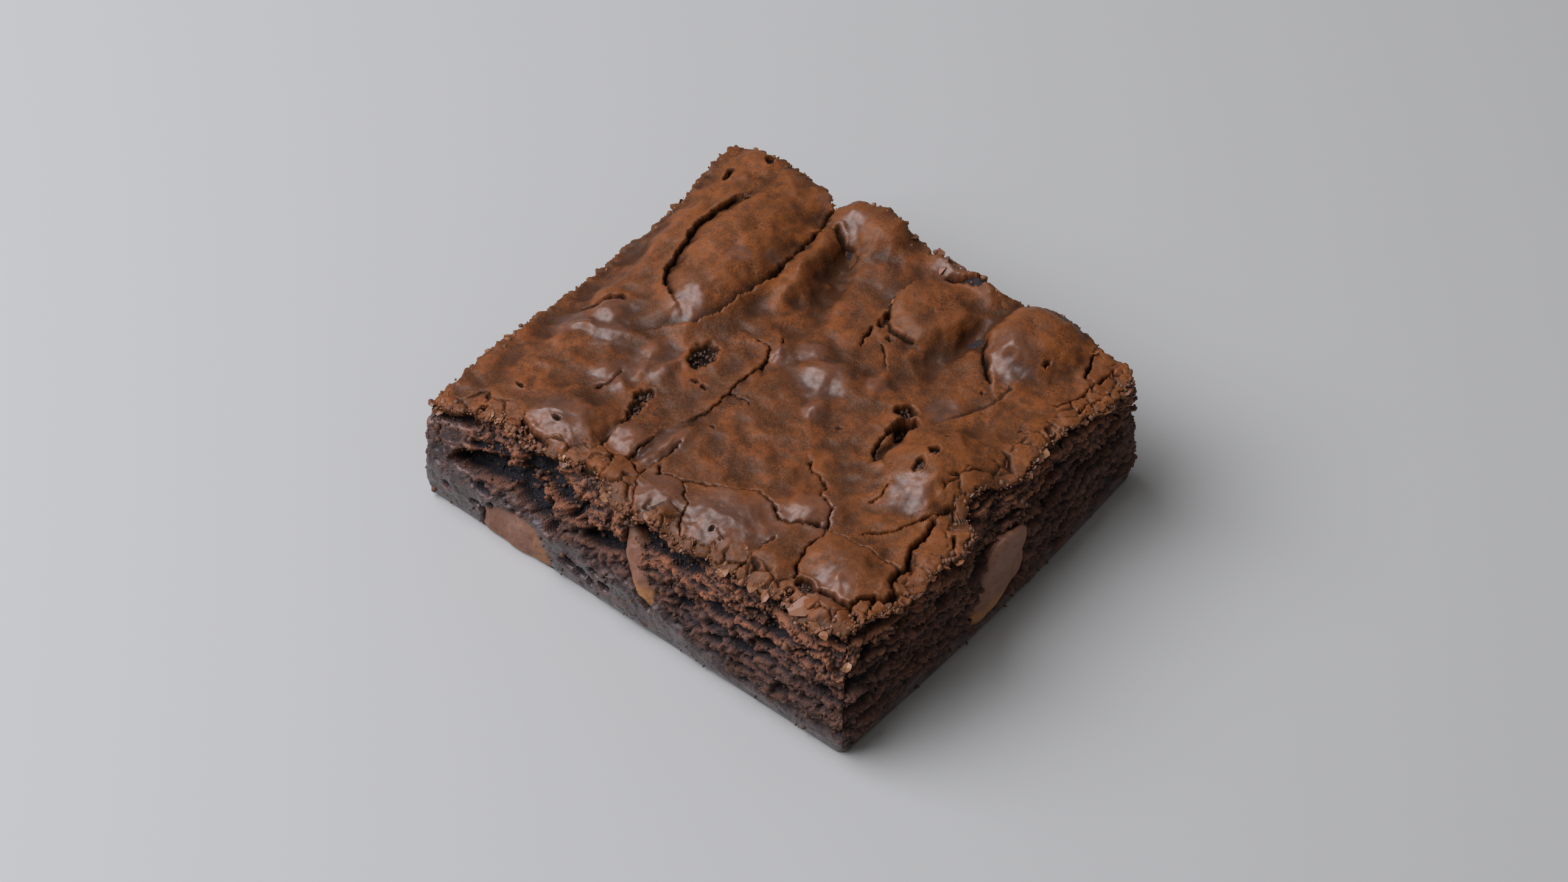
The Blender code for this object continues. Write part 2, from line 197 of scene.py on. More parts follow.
# Places where the skin is glossiest: x, y, radius.
GLOSSY = (
    (-11, 28, 1.8), (-15.6, 16.3, 1), (-19.2, 3, 2.2), (-18.8, 13, 1.4), (-27.5, -3, 2.6),
    (-26, -5.8, 2.6), (-31.6, -7.4, 2.2), (-17, -6.5, 3), (-20, -12, 2.6), (-19.6, -22.8, 3.8),
    (-10.8, -19, 2.4), (-5.8, -15.8, 2.2), (-6.6, -19.6, 1.4), (-1.4, -24, 3), (6.8, -22.8, 4),
    (17, -14.4, 3), (12, -20, 3.4), (26.4, -23, 2.8), (25, -4.8, 2.4), (21, 21.6, 3.2),
    (3.4, 4, 3), (-1.2, 7.2, 1.8), (9.2, 8, 1.4), (-4.4, 4.2, 1.4), (5.4, -0.8, 1.4), (19, 9.8, 2),
    (4, 29.6, 2), (-17.2, 29.8, 1),
)

SLOPES = np.random.default_rng(11).normal(size=(64, 3))
SLOPES /= np.linalg.norm(SLOPES, axis=1, keepdims=True)


def cell_hash(cells, seed):
    """A repeatable random whole number for each cell of a lattice: its coordinates are
    multiplied by large odd numbers and folded into each other."""
    mixed = np.full(cells.shape[:-1], (seed * 747796405 + 1) % 2**32, np.uint32)
    for axis, odd in enumerate((374761393, 668265263, 2246822519)):
        mixed = mixed ^ (cells[..., axis].astype(np.uint32) * np.uint32(odd))
        mixed = (mixed ^ (mixed >> np.uint32(15))) * np.uint32(2654435761)
    return mixed ^ (mixed >> np.uint32(13))


def noise(points, size, seed=0):
    """Smooth random lumps of a size in mm, from about -1 to 1: every corner of a cubic lattice
    has a random slope, and the planes through the corners are blended by an S curve."""
    scaled = points / size
    base = np.floor(scaled).astype(np.int64)
    part = scaled - base
    blend = part**3 * (part * (part * 6.0 - 15.0) + 10.0)
    total = np.zeros(points.shape[:-1])
    for corner in np.ndindex(2, 2, 2):
        step = np.array(corner)
        slope = SLOPES[cell_hash(base + step, seed) & np.uint32(63)]
        weight = np.prod(np.where(step, blend, 1.0 - blend), axis=-1)
        total += weight * np.sum(slope * (part - step), axis=-1)
    return 1.7 * total


def cells(points, size, seed=0):
    """Distances in mm to the nearest and second nearest of points scattered one to a lattice
    cell, and a random number from 0 to 1 that belongs to the nearest."""
    scaled = points / size
    base = np.floor(scaled).astype(np.int64)
    first = np.full(points.shape[:-1], 9.0)
    second = first.copy()
    owner = np.zeros(points.shape[:-1])
    for step in np.ndindex(3, 3, 3):
        cell = base + np.array(step) - 1
        mixed = cell_hash(cell, seed)
        spot = np.stack([(mixed >> np.uint32(shift)) & np.uint32(1023) for shift in (0, 10, 20)], axis=-1)
        distance = np.linalg.norm(scaled - cell - spot / 1023.0, axis=-1)
        closer = distance < first
        second = np.where(closer, first, np.minimum(second, distance))
        owner = np.where(closer, (mixed % np.uint32(9973)) / 9973.0, owner)
        first = np.where(closer, distance, first)
    return first * size, second * size, owner


def ramp(low, high, value):
    """0 at low, 1 at high, a smooth S between them; low may be the larger."""
    share = np.clip((value - low) / (high - low), 0.0, 1.0)
    return share * share * (3.0 - 2.0 * share)


def hill(distance):
    """1 at distance 0, falling smoothly to 0 at distance 1 and beyond."""
    return (1.0 - np.clip(distance, -1.0, 1.0) ** 2) ** 2


def curve(pairs, at):
    """A smooth curve through (place, value) pairs, with an S between each two."""
    places, values = np.array(pairs, float).T
    index = np.clip(np.searchsorted(places, at) - 1, 0, len(places) - 2)
    share = np.clip((at - places[index]) / (places[index + 1] - places[index]), 0.0, 1.0)
    share = share * share * (3.0 - 2.0 * share)
    return values[index] * (1.0 - share) + values[index + 1] * share


def flat(x, y, level=0.0):
    """Points of a plane as an array of x, y, z."""
    return np.stack([x, y, np.full_like(x, level)], axis=-1)


def side_bow(x, y):
    """How far the left and right cut faces bow out: a half wave along them, fading inwards; the
    left one also bulges towards its front end."""
    bow = SIDE_BOW * np.cos(np.pi * y / (2.0 * HALF_WIDTH)) * (x / HALF_LENGTH) ** 3
    return bow - (0.5 + 0.9 * ramp(15.0, -28.0, y)) * ramp(-0.3 * HALF_LENGTH, -HALF_LENGTH, x)


def rim_shift(x, y):
    """How far the crust's rim is moved in from the cut faces, as an x and a y: each side's own
    curve along that side, at full strength on the side and fading over the rim's reach."""
    right = hill((HALF_LENGTH - x) / RIM_REACH) * curve(RIGHT_RIM, y)
    left = hill((HALF_LENGTH + x) / RIM_REACH) * curve(LEFT_RIM, y)
    back = hill((HALF_WIDTH - y) / RIM_REACH) * curve(BACK_RIM, x)
    front = hill((HALF_WIDTH + y) / RIM_REACH) * curve(FRONT_RIM, x)
    return left - right, front - back


def ellipse(x, y, centre_x, centre_y, half_x, half_y, turn):
    """Distance from an ellipse's centre in its own turned axes, 1 on its outline."""
    cosine, sine = math.cos(math.radians(turn)), math.sin(math.radians(turn))
    across = (x - centre_x) * cosine + (y - centre_y) * sine
    along = (y - centre_y) * cosine - (x - centre_x) * sine
    return np.hypot(across / half_x, along / half_y)


def nearest_on_line(x, y, line):
    """Nearest point of a line of points, as x, y, the distance to it, and which side: 1 left."""
    best = np.full(x.shape, 1e9)
    found = [np.zeros_like(x), np.zeros_like(x), np.zeros_like(x)]
    for (start_x, start_y), (end_x, end_y) in zip(line[:-1], line[1:]):
        run_x, run_y = end_x - start_x, end_y - start_y
        share = ((x - start_x) * run_x + (y - start_y) * run_y) / (run_x**2 + run_y**2)
        share = np.clip(share, 0.0, 1.0)
        near_x, near_y = start_x + share * run_x, start_y + share * run_y
        distance = np.hypot(x - near_x, y - near_y)
        side = np.sign(run_x * (y - near_y) - run_y * (x - near_x))
        closer = distance < best
        best = np.where(closer, distance, best)
        found = [np.where(closer, new, old) for new, old in zip((near_x, near_y, side), found)]
    return found[0], found[1], best, found[2]


def crust_height(x, y):
    """Height of the skin in mm: a plane bent through the corners, the lumps with their outlines
    shaken by noise, folds, and two sizes of wrinkle."""
    across, along = 0.5 + x / (2.0 * HALF_LENGTH), 0.5 + y / (2.0 * HALF_WIDTH)
    front = HEIGHTS["front_left"] * (1.0 - across) + HEIGHTS["front_right"] * across
    back = HEIGHTS["back_left"] * (1.0 - across) + HEIGHTS["back_right"] * across
    height = front * (1.0 - along) + back * along
    spot = flat(x, y)
    shaken_x = x + 0.7 * noise(spot, 3.4, 1) + 0.25 * noise(spot, 1.3, 2)
    shaken_y = y + 0.7 * noise(spot, 3.4, 3) + 0.25 * noise(spot, 1.3, 4)
    for centre_x, centre_y, half_x, half_y, turn, rise, flatness in LUMPS:
        distance = ellipse(shaken_x, shaken_y, centre_x, centre_y, half_x, half_y, turn)
        height += 1.15 * rise * np.exp(-0.9 * distance**flatness)
    edge = np.minimum(HALF_LENGTH + np.minimum(x, 0.75 * HALF_LENGTH - x), HALF_WIDTH + y)
    height -= 0.9 * hill(np.clip(edge - 1.5, 0.0, None) / 4.5)
    height += 0.55 * (0.3 - np.abs(noise(flat(shaken_x, shaken_y, 5.0), 6.0, 5)))
    height += 0.14 * noise(flat(shaken_x, shaken_y, 9.0), 2.3, 6)
    height += 0.035 * noise(flat(shaken_x, shaken_y, 13.0), 0.8, 7)
    return height


# The shell's top is a grid of rows and columns; under its rim come rings: how far in, how far down.
CRUST_COLUMNS = 318
CRUST_ROWS = 280
CRACK_REACH = 0.9
CRACK_LEFT = 0.12
RELIEF_BLURS = 70
PLATE_SIZE, PLATE_GAP = 3.4, 0.17
UNDER_RIM = ((0.0, 0.22), (0.12, 0.42), (0.7, 0.75), (2.2, 1.3))
CORE_HEIGHT = 10.0


def plan(u, v, rim=1.0):
    """Plan position of the crust at u and v from -1 to 1, in mm: the rectangle with each corner's
    square turned into a quarter disc, bowed, and drawn in to the rim by a share of its distance."""
    x, y = u * HALF_LENGTH, v * HALF_WIDTH
    core_x = np.clip(x, CORNER_RADIUS - HALF_LENGTH, HALF_LENGTH - CORNER_RADIUS)
    core_y = np.clip(y, CORNER_RADIUS - HALF_WIDTH, HALF_WIDTH - CORNER_RADIUS)
    out_x, out_y = x - core_x, y - core_y
    length = np.hypot(out_x, out_y)
    rounding = np.where(length > 0.0, np.maximum(abs(out_x), abs(out_y)) / np.maximum(length, 1e-9), 1.0)
    x, y = core_x + out_x * rounding, core_y + out_y * rounding
    shift_x, shift_y = rim_shift(x, y)
    return x + side_bow(x, y) + rim * shift_x, y + rim * shift_y


def ragged_plan(u, v):
    """The plan with its rim moved in and out by three sizes of noise, which fades inwards."""
    x, y = plan(u, v)
    spot = flat(x, y)
    torn = 0.6 * noise(spot, 2.6, 21) + 0.5 * noise(spot, 1.1, 22) + 0.28 * noise(spot, 0.5, 23)
    x = x + np.sign(u) * torn * hill((1.0 - np.abs(u)) * HALF_LENGTH / 2.4)
    y = y + np.sign(v) * torn * hill((1.0 - np.abs(v)) * HALF_WIDTH / 2.4)
    return x, y


def grid_quads(rows, columns, wrapped=False):
    """Corners of the four-sided faces between the rows and columns of a grid of points, anticlockwise
    seen from the side where columns run right and rows run up; wrapped joins the last column on."""
    index = np.arange(rows * columns).reshape(rows, columns)
    if wrapped:
        index = np.hstack([index, index[:, :1]])
    return np.stack([index[:-1, :-1], index[:-1, 1:], index[1:, 1:], index[1:, :-1]], axis=-1).reshape(-1, 4)


def make_piece(name, points, quads, triangles, material, values):
    """A mesh object from points in mm, its four- and three-sided faces, and a number per point for
    each named value, which the material reads."""
    mesh = bpy.data.meshes.new(name)
    mesh.vertices.add(len(points))
    mesh.vertices.foreach_set("co", (points * METRES_PER_MM).astype(np.float32).ravel())
    quads, triangles = np.reshape(quads, (-1, 4)), np.reshape(triangles, (-1, 3))
    corners = np.concatenate([quads.ravel(), triangles.ravel()])
    starts = np.concatenate([np.arange(len(quads)) * 4, 4 * len(quads) + np.arange(len(triangles)) * 3])
    mesh.loops.add(len(corners))
    mesh.loops.foreach_set("vertex_index", corners.astype(np.int32))
    mesh.polygons.add(len(starts))
    mesh.polygons.foreach_set("loop_start", starts.astype(np.int32))
    mesh.update(calc_edges=True)
    mesh.validate()
    mesh.shade_smooth()
    for value_name, value in values.items():
        layer = mesh.attributes.new(value_name, "FLOAT", "POINT")
        layer.data.foreach_set("value", np.asarray(value, np.float32).ravel())
    mesh.materials.append(material)
    piece = bpy.data.objects.new(name, mesh)
    bpy.context.scene.collection.objects.link(piece)
    return piece


def colour(hex_code):
    """A colour written as sRGB hex, turned to the linear values the renderer works in."""
    channels = [int(hex_code[i : i + 2], 16) / 255.0 for i in (1, 3, 5)]
    linear = [c / 12.92 if c <= 0.04045 else ((c + 0.055) / 1.055) ** 2.4 for c in channels]
    return (*linear, 1.0)


def node(tree, kind, *inputs, named=None, out=None, **settings):
    """A node with its settings, giving the output named, or else its first in use. Its inputs are
    values or other nodes' outputs, in order among the inputs in use, or by name."""
    made = tree.nodes.new("ShaderNode" + kind)
    for name, value in settings.items():
        setattr(made, name, value)
    pairs = list(zip([socket for socket in made.inputs if socket.enabled], inputs))
    pairs += [(made.inputs[name], value) for name, value in (named or {}).items()]
    for socket, value in pairs:
        if isinstance(value, bpy.types.NodeSocket):
            tree.links.new(value, socket)
        else:
            socket.default_value = value
    return made.outputs[out] if out else next((socket for socket in made.outputs if socket.enabled), None)


def grain_of(tree, size, detail=2.0, low=0.0, high=1.0, shift=0.0):
    """Noise of a size in mm in the object's own space, with low..high stretched to 0..1."""
    place = node(tree, "TexCoord", out="Object")
    moved = node(tree, "VectorMath", place, (shift, shift, shift), operation="ADD")
    texture = node(tree, "TexNoise", moved, 1.0 / (size * METRES_PER_MM), detail)
    return node(tree, "MapRange", texture, low, high)


def product(tree, first, *others):
    """Several numbers multiplied together."""
    for other in others:
        first = node(tree, "Math", first, other, operation="MULTIPLY")
    return first


def layered_colour(tree, hex_code, layers):
    """A colour with others laid over it in turn, each as strongly as its factors multiplied."""
    base = colour(hex_code)
    for *factors, tint in layers:
        base = node(tree, "Mix", product(tree, *factors), base, colour(tint), data_type="RGBA")
    return base


def make_material(name, recipe, attributes=()):
    """A material of one shader: the recipe gets the tree and the numbers stored per point under
    the attributes' names, and gives the shader's inputs."""
    material = bpy.data.materials.new(name)
    material.use_nodes = True
    tree = material.node_tree
    tree.nodes.clear()
    stored = [node(tree, "Attribute", out="Fac", attribute_name=attribute) for attribute in attributes]
    node(tree, "OutputMaterial", node(tree, "BsdfPrincipled", named=recipe(tree, *stored)))
    return material


def baked_crust(tree, bare_crumb_and_gap_shade, gloss, rim, warm, relief_shade_and_highlight):
    """Baked sugar skin: a satin brown with darker freckles, glossy where it is stretched over a bubble, tan
    and matte where it has flaked, and dark matte crumb in its cracks and holes, made near black there and in
    the gaps between plates as painted shade. Painted shade darkens its hollows and painted highlight lightens
    its ridges."""
    base = layered_colour(
        tree,
        "#7C4320",
        (
            (grain_of(tree, 5.0, 3.0, 0.38, 0.62), "#502C18"),
            (warm, "#84481B"),
            (grain_of(tree, 1.3, 5.0, 0.45, 0.62, 0.1), 0.7, "#4A2C1B"),
            (grain_of(tree, 0.28, 3.0, 0.5, 0.66, 0.6), 0.3, "#8E5C34"),
            (grain_of(tree, 4.5, 2.0, 0.42, 0.62, 0.3), grain_of(tree, 0.32, 3.0, 0.5, 0.62), 0.7, "#33211A"),
            # painted shade in the crust's hollows and under its rim, and painted highlight on its ridges
            (node(tree, "MapRange", relief_shade_and_highlight, 0.55, 0.1, 0.0, 0.85), "#371E10"),
            (node(tree, "MapRange", relief_shade_and_highlight, 0.5, 1.0, 0.0, 0.4), "#844B26"),
            (gloss, 0.35, "#5C4036"),
            (rim, 0.4, "#80502E"),
            # crumb showing in cracks and holes, partly its own colour and partly painted shade, and painted
            # shade in the gaps between plates: near black
            (bare_crumb_and_gap_shade, "#1D110C"),
        ),
    )
    skin_rough = node(tree, "MapRange", gloss, 0.0, 1.0, 0.52, 0.36)
    broken_skin = node(tree, "Math", bare_crumb_and_gap_shade, rim, operation="MAXIMUM")
    fine = node(tree, "Math", grain_of(tree, 0.35, 3.0), grain_of(tree, 1.1, 3.0, shift=0.4), operation="ADD")
    strength = node(tree, "MapRange", gloss, 0.0, 1.0, 0.4, 0.2)
    covered = node(tree, "MapRange", bare_crumb_and_gap_shade, 0.0, 0.5, 1.0, 0.0)
    sheen = node(tree, "MapRange", gloss, 0.0, 1.0, 0.18, 0.8)
    patchy = node(tree, "MapRange", grain_of(tree, 0.7, 4.0, 0.42, 0.64, 0.9), 0.0, 1.0, 1.0, 0.45)
    return {
        "Base Color": base,
        "Roughness": node(tree, "Mix", broken_skin, skin_rough, 0.75),
        "Normal": node(tree, "Bump", named={"Height": fine, "Strength": strength, "Distance": 0.0002}),
        "Specular IOR Level": 0.22,
        "Specular Tint": colour("#F2DEC4"),
        "Coat Weight": product(tree, covered, sheen, patchy),
        "Coat Roughness": 0.36,
    }


u, v = np.meshgrid(np.linspace(-1.0, 1.0, CRUST_COLUMNS), np.linspace(-1.0, 1.0, CRUST_ROWS))
inward = np.minimum((1.0 - np.abs(u)) * HALF_LENGTH, (1.0 - np.abs(v)) * HALF_WIDTH)
x, y = ragged_plan(u, v)

# Points near a crack are drawn together towards it, so that it is narrow and steep.
spot = flat(x, y)
jitter_x = 0.32 * noise(spot, 1.3, 31) + 0.12 * noise(spot, 0.5, 32)
jitter_y = 0.32 * noise(spot, 1.3, 33) + 0.12 * noise(spot, 0.5, 34)
nearest = [nearest_on_line(x + jitter_x, y + jitter_y, line) for line, *_ in FOLDS + CRACKS]
near = np.full_like(x, 1e9)
line_x, line_y = x, y
for found_x, found_y, away, _ in nearest:
    line_x, line_y = np.where(away < near, found_x, line_x), np.where(away < near, found_y, line_y)
    near = np.minimum(near, away)
drawn = CRACK_LEFT + (1.0 - CRACK_LEFT) * ramp(0.0, CRACK_REACH, near)
pull = (1.0 - drawn) * ramp(0.0, 0.6, inward)
x, y = x + (line_x - x - jitter_x) * pull, y + (line_y - y - jitter_y) * pull

z = crust_height(x, y)
bare_crumb_and_gap_shade = np.zeros_like(z)
spot = flat(x, y)
shaken = 0.22 * noise(spot, 1.1, 41) + 0.14 * noise(spot, 0.5, 42)
# Cracks and holes cut into the skin; the crumb they show is painted near black, partly its own colour and
# partly painted shade.
for (_, half_width, depth, step), (_, _, away, side) in zip(FOLDS + CRACKS, nearest):
    away = away * (CRACK_LEFT + (1.0 - CRACK_LEFT) * ramp(0.0, CRACK_REACH, away))
    cut = hill(away / (1.6 * half_width * (1.0 + 1.4 * shaken)))
    stepped = step * np.tanh(side * away / (half_width + 0.1)) * np.exp(-away / 1.5)
    z = z + 0.12 * np.exp(-away / 0.4) - 1.5 * depth * cut + stepped
    bare_crumb_and_gap_shade = np.maximum(bare_crumb_and_gap_shade, cut if half_width < 0.25 else 0.7 * cut)
grit = 0.5 - cells(spot, 0.75, 43)[0] / 0.75
for centre_x, centre_y, half_x, half_y, turn, depth in HOLES:
    reach = ellipse(x, y, centre_x, centre_y, half_x, half_y, turn) + 1.7 * shaken / max(half_x, 0.8)
    inside = ramp(1.12, 0.72, reach)
    z = z + inside * (1.1 * grit - 1.5 * depth) + 0.12 * hill((reach - 1.25) / 0.35)
    bare_crumb_and_gap_shade = np.maximum(bare_crumb_and_gap_shade, inside)

# Along the front and right rims the skin has broken into small plates, each a little askew.
swayed = flat(x + 0.4 * noise(spot, 1.6, 51), y + 0.4 * noise(spot, 1.6, 52))
first, second, plate = cells(swayed, PLATE_SIZE, 53)
to_front, to_right = (1.0 + v) * HALF_WIDTH, (1.0 - u) * HALF_LENGTH
broken = np.clip(hill(to_front / 9.0) + hill(to_right / 8.5) + 0.4 * noise(spot, 5.0, 54) - 0.3, 0.0, 1.0)
gap = hill((second - first) / PLATE_GAP) * ramp(0.2, 0.5, broken)
z = z + broken * 0.5 * (plate - 0.5) - 0.7 * gap - 0.12 * hill(inward / 0.5)
crumbly = np.clip(0.7 * broken + hill(inward / 2.2), 0.0, 1.0) * ramp(-0.3, 0.3, noise(spot, 2.2, 56))
z = z + crumbly * (0.28 * (0.45 - cells(spot, 0.9, 55)[0] / 0.9) + 0.10 * noise(spot, 0.5, 57))
# Painted shade: the narrow gaps between plates are painted near black, like the bare crumb.
bare_crumb_and_gap_shade = np.maximum(bare_crumb_and_gap_shade, 0.9 * gap)

# Painted shade and highlight: each point's height over a blurred copy of the crust; the material darkens the
# hollows and lightens the ridges with it, and the under side of the rim gets a low value, so it is painted
# dark.
smoothed = z.copy()
for _ in range(RELIEF_BLURS):
    padded = np.pad(smoothed, 1, mode="edge")
    smoothed = (padded[:-2, 1:-1] + padded[2:, 1:-1] + padded[1:-1, :-2] + padded[1:-1, 2:]) / 4.0
relief_shade_and_highlight = np.clip(0.5 + 1.5 * (z - smoothed), 0.0, 1.0)
gloss = np.zeros_like(z)
for centre_x, centre_y, radius in GLOSSY:
    reach = np.hypot(x - centre_x, y - centre_y) / (1.15 * radius)
    gloss = np.maximum(gloss, ramp(1.2, 0.7, reach + 0.9 * shaken))
warm = 0.4 * ramp(6.0, 30.0, x) * ramp(-20.0, -8.0, y) + 0.45 * ramp(3.0, 14.0, y) * ramp(-4.0, -14.0, x)
warm = np.clip(warm, 0.0, 1.0)
rim = np.maximum(hill(inward / 0.7), 0.5 * broken * ramp(0.55, 0.75, plate))

# The rim runs anticlockwise round the grid; the rings under it are the same path further in.
index = np.arange(CRUST_ROWS * CRUST_COLUMNS).reshape(CRUST_ROWS, CRUST_COLUMNS)
edge = np.concatenate([index[0, :-1], index[:-1, -1], index[-1, :0:-1], index[:0:-1, 0]])
edge_u, edge_v = u.ravel()[edge], v.ravel()[edge]
top = np.stack([x, y, z], axis=-1).reshape(-1, 3)
rings = []
for inset, drop in UNDER_RIM:
    ring_u, ring_v = edge_u * (1.0 - inset / HALF_LENGTH), edge_v * (1.0 - inset / HALF_WIDTH)
    ring_x, ring_y = ragged_plan(ring_u, ring_v)
    rings.append(np.stack([ring_x, ring_y, top[edge, 2] - drop], axis=-1))
points = np.vstack([top, *rings, [[0.0, 0.0, CORE_HEIGHT]]])
loops = [edge] + [len(top) + k * len(edge) + np.arange(len(edge)) for k in range(len(UNDER_RIM))]
quads = [grid_quads(CRUST_ROWS, CRUST_COLUMNS)]
for upper, lower in zip(loops[:-1], loops[1:]):
    quads.append(np.stack([upper, lower, np.roll(lower, -1), np.roll(upper, -1)], axis=-1))
centre = np.full(len(edge), len(points) - 1)
cap = np.stack([np.roll(loops[-1], -1), loops[-1], centre], axis=-1)
under = len(points) - len(top)
crust = make_piece(
    "crust",
    points,
    np.vstack(quads),
    cap,
    make_material("baked_crust", baked_crust, ("bare_crumb_and_gap_shade", "gloss", "rim", "warm", "relief_shade_and_highlight")),
    {
        "bare_crumb_and_gap_shade": np.append(bare_crumb_and_gap_shade, np.full(under, 0.3)),
        "gloss": np.append(gloss, np.zeros(under)),
        "rim": np.append(rim, np.full(under, 1.0)),
        "warm": np.append(warm, np.full(under, 0.4)),
        "relief_shade_and_highlight": np.append(relief_shade_and_highlight, np.full(under, 0.2)),
    },
)
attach(crust, whole_body)

# ----------------------------------------
# The crumb: dense, moist cocoa cake, cut with a knife that dragged the lower part of each side
# smooth. The upper part has torn in ledges and pits and leans back under the crust. It is one
# closed solid.
# ----------------------------------------

# Tears and pits in each side: place along it, height, half length, half height, turn in degrees, depth.
HOLLOWS = {
    "front": (
        (-25.6, 10.6, 5.2, 1.2, 12, 2.6), (-19.6, 10.4, 3.6, 1.2, -22, 2.4),
        (-14.6, 9, 1.7, 0.9, -42, 2), (-6, 10.6, 3.2, 1.1, 12, 2.2), (-2.6, 11, 1.6, 0.9, -8, 2),
        (-17.6, 11.6, 0.9, 0.9, 0, 1.4), (-15.6, 10.8, 0.7, 1, -20, 1.6),
        (-11, 12.2, 0.6, 1.3, -30, 1.6), (-19.6, 13.9, 2.4, 0.8, 25, 1.8),
        (-15.4, 13.3, 3, 0.9, -12, 1.9), (-25.6, 13, 1.6, 0.5, 8, 1),
        (-28.6, 12, 1.8, 0.4, 12, 0.8), (1.5, 14.6, 3, 1, -4, 1.7), (6.4, 14.2, 2.6, 1.1, 6, 1.8),
        (-26.6, 7.4, 1.6, 0.5, 0, 0.7), (-11, 4.1, 1.1, 0.9, -5, 1.1), (-9.2, 3.2, 0.8, 0.8, 10, 1),
        (-7.3, 2.6, 0.6, 0.7, 0, 0.9), (-4.6, 3.6, 0.8, 0.7, 20, 1), (-6.4, 5.2, 0.9, 0.6, 10, 0.8),
        (13.6, 11.3, 2.6, 0.6, 4, 1.5), (21.5, 11, 1.4, 0.5, 8, 1.2), (22.7, 13.2, 1.5, 0.6, 0, 1.4),
        (28.9, 13.4, 2, 0.5, 6, 1.3), (30.2, 9.8, 2.6, 0.5, 4, 1.3), (14.2, 7.4, 1.2, 0.5, 6, 1),
        (2.4, 7.2, 0.8, 1, 10, 1.5), (18.6, 8.6, 2.2, 0.4, 4, 0.8), (8.6, 9.6, 1.6, 0.6, 8, 1.2),
        (-32.6, 4.2, 0.6, 0.6, 0, 0.6), (-26.2, 4, 1.6, 0.4, 4, 0.6), (25.6, 6, 1.2, 0.4, 5, 0.8),
    ),
    "right": (
        (-28.6, 7.6, 3.4, 0.7, -10, 1.6), (-16.4, 7.6, 3.2, 0.55, 8, 1.6), (-22.6, 8.4, 3, 0.45, 6, 1.2),
        (-19.4, 15.2, 2.4, 0.9, 20, 1.8), (-26, 14.2, 2, 0.6, 16, 1.3), (-13.6, 12.6, 5, 0.5, 8, 1.3),
        (-8.8, 16.3, 2.6, 1, -30, 2.2), (-4, 17, 2.6, 1.3, 10, 2.6), (-4.4, 12.4, 3, 0.45, 4, 1.2),
        (-21.6, 10.8, 3.4, 0.4, 10, 1), (-29.6, 12, 1.8, 0.6, -6, 1.4), (-12.6, 10.2, 3, 0.4, 6, 1),
        (10.2, 11.6, 3.4, 0.8, 6, 1.8), (11.6, 14.8, 3.2, 0.7, 4, 1.8), (22.6, 11.8, 5.6, 0.9, 5, 1.6),
        (12.4, 6.4, 4, 0.45, 5, 1), (24, 7, 3.2, 0.4, 6, 1), (26, 15, 3, 0.7, 0, 1.4),
        (-18.8, 3.6, 0.8, 0.5, 0, 0.6), (-27.4, 3.4, 0.6, 0.4, 10, 0.6),
    ),
}

# Lumps of chocolate: node, side, place along it, height, turn in degrees, half length, half height,
# and how far the face leans back for each mm up.
CHUNKS = (
    ("chocolate_chunk_left", "front", -20.5, 1.4, 0.0, 6.3, 5.2, 0.04),
    ("chocolate_chunk_middle", "front", 0.7, 9.5, -57.0, 5.6, 1.55, 0.34),
    ("chocolate_chunk_right", "right", 0.1, 7.2, 44.0, 7.0, 4.2, 0.0),
)

# Points along each side, and rows up it; the last few rows run in under the crust.
FRONT_COLUMNS, RIGHT_COLUMNS, BACK_COLUMNS, LEFT_COLUMNS = 360, 326, 190, 174
CRUMB_ROWS = 86
UNDER_CRUST = ((0.6, 0.75), (1.5, 1.2), (3.2, 2.0))
LEAN_START = 0.42
LEVEL_BLURS = 14
SLAB_SIZE, CHIP_SIZE, BEAD_SIZE = 3.4, 1.15, 0.5
BASE_TUCK = 0.5


def lean(share):
    """How far a point at a share of the height has moved from the cut face to the crust's rim."""
    return np.clip((share - LEAN_START) / (1.0 - LEAN_START), 0.0, 1.0) ** 1.2


def normals_of(grid):
    """Unit outward normals of a closed band of points, rows up and columns anticlockwise: the
    cross product of the steps along the columns and the rows."""
    along = np.roll(grid, -1, axis=1) - np.roll(grid, 1, axis=1)
    upward = np.gradient(grid, axis=0)
    normal = np.cross(along, upward)
    return normal / np.maximum(np.linalg.norm(normal, axis=-1, keepdims=True), 1e-9)


def face_of(name, side):
    """How far out the face of a lump comes, in mm, from its node in the frame."""
    low, high = (np.array(corner) / METRES_PER_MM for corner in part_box(name))
    return -low[1] if side == "front" else high[0]


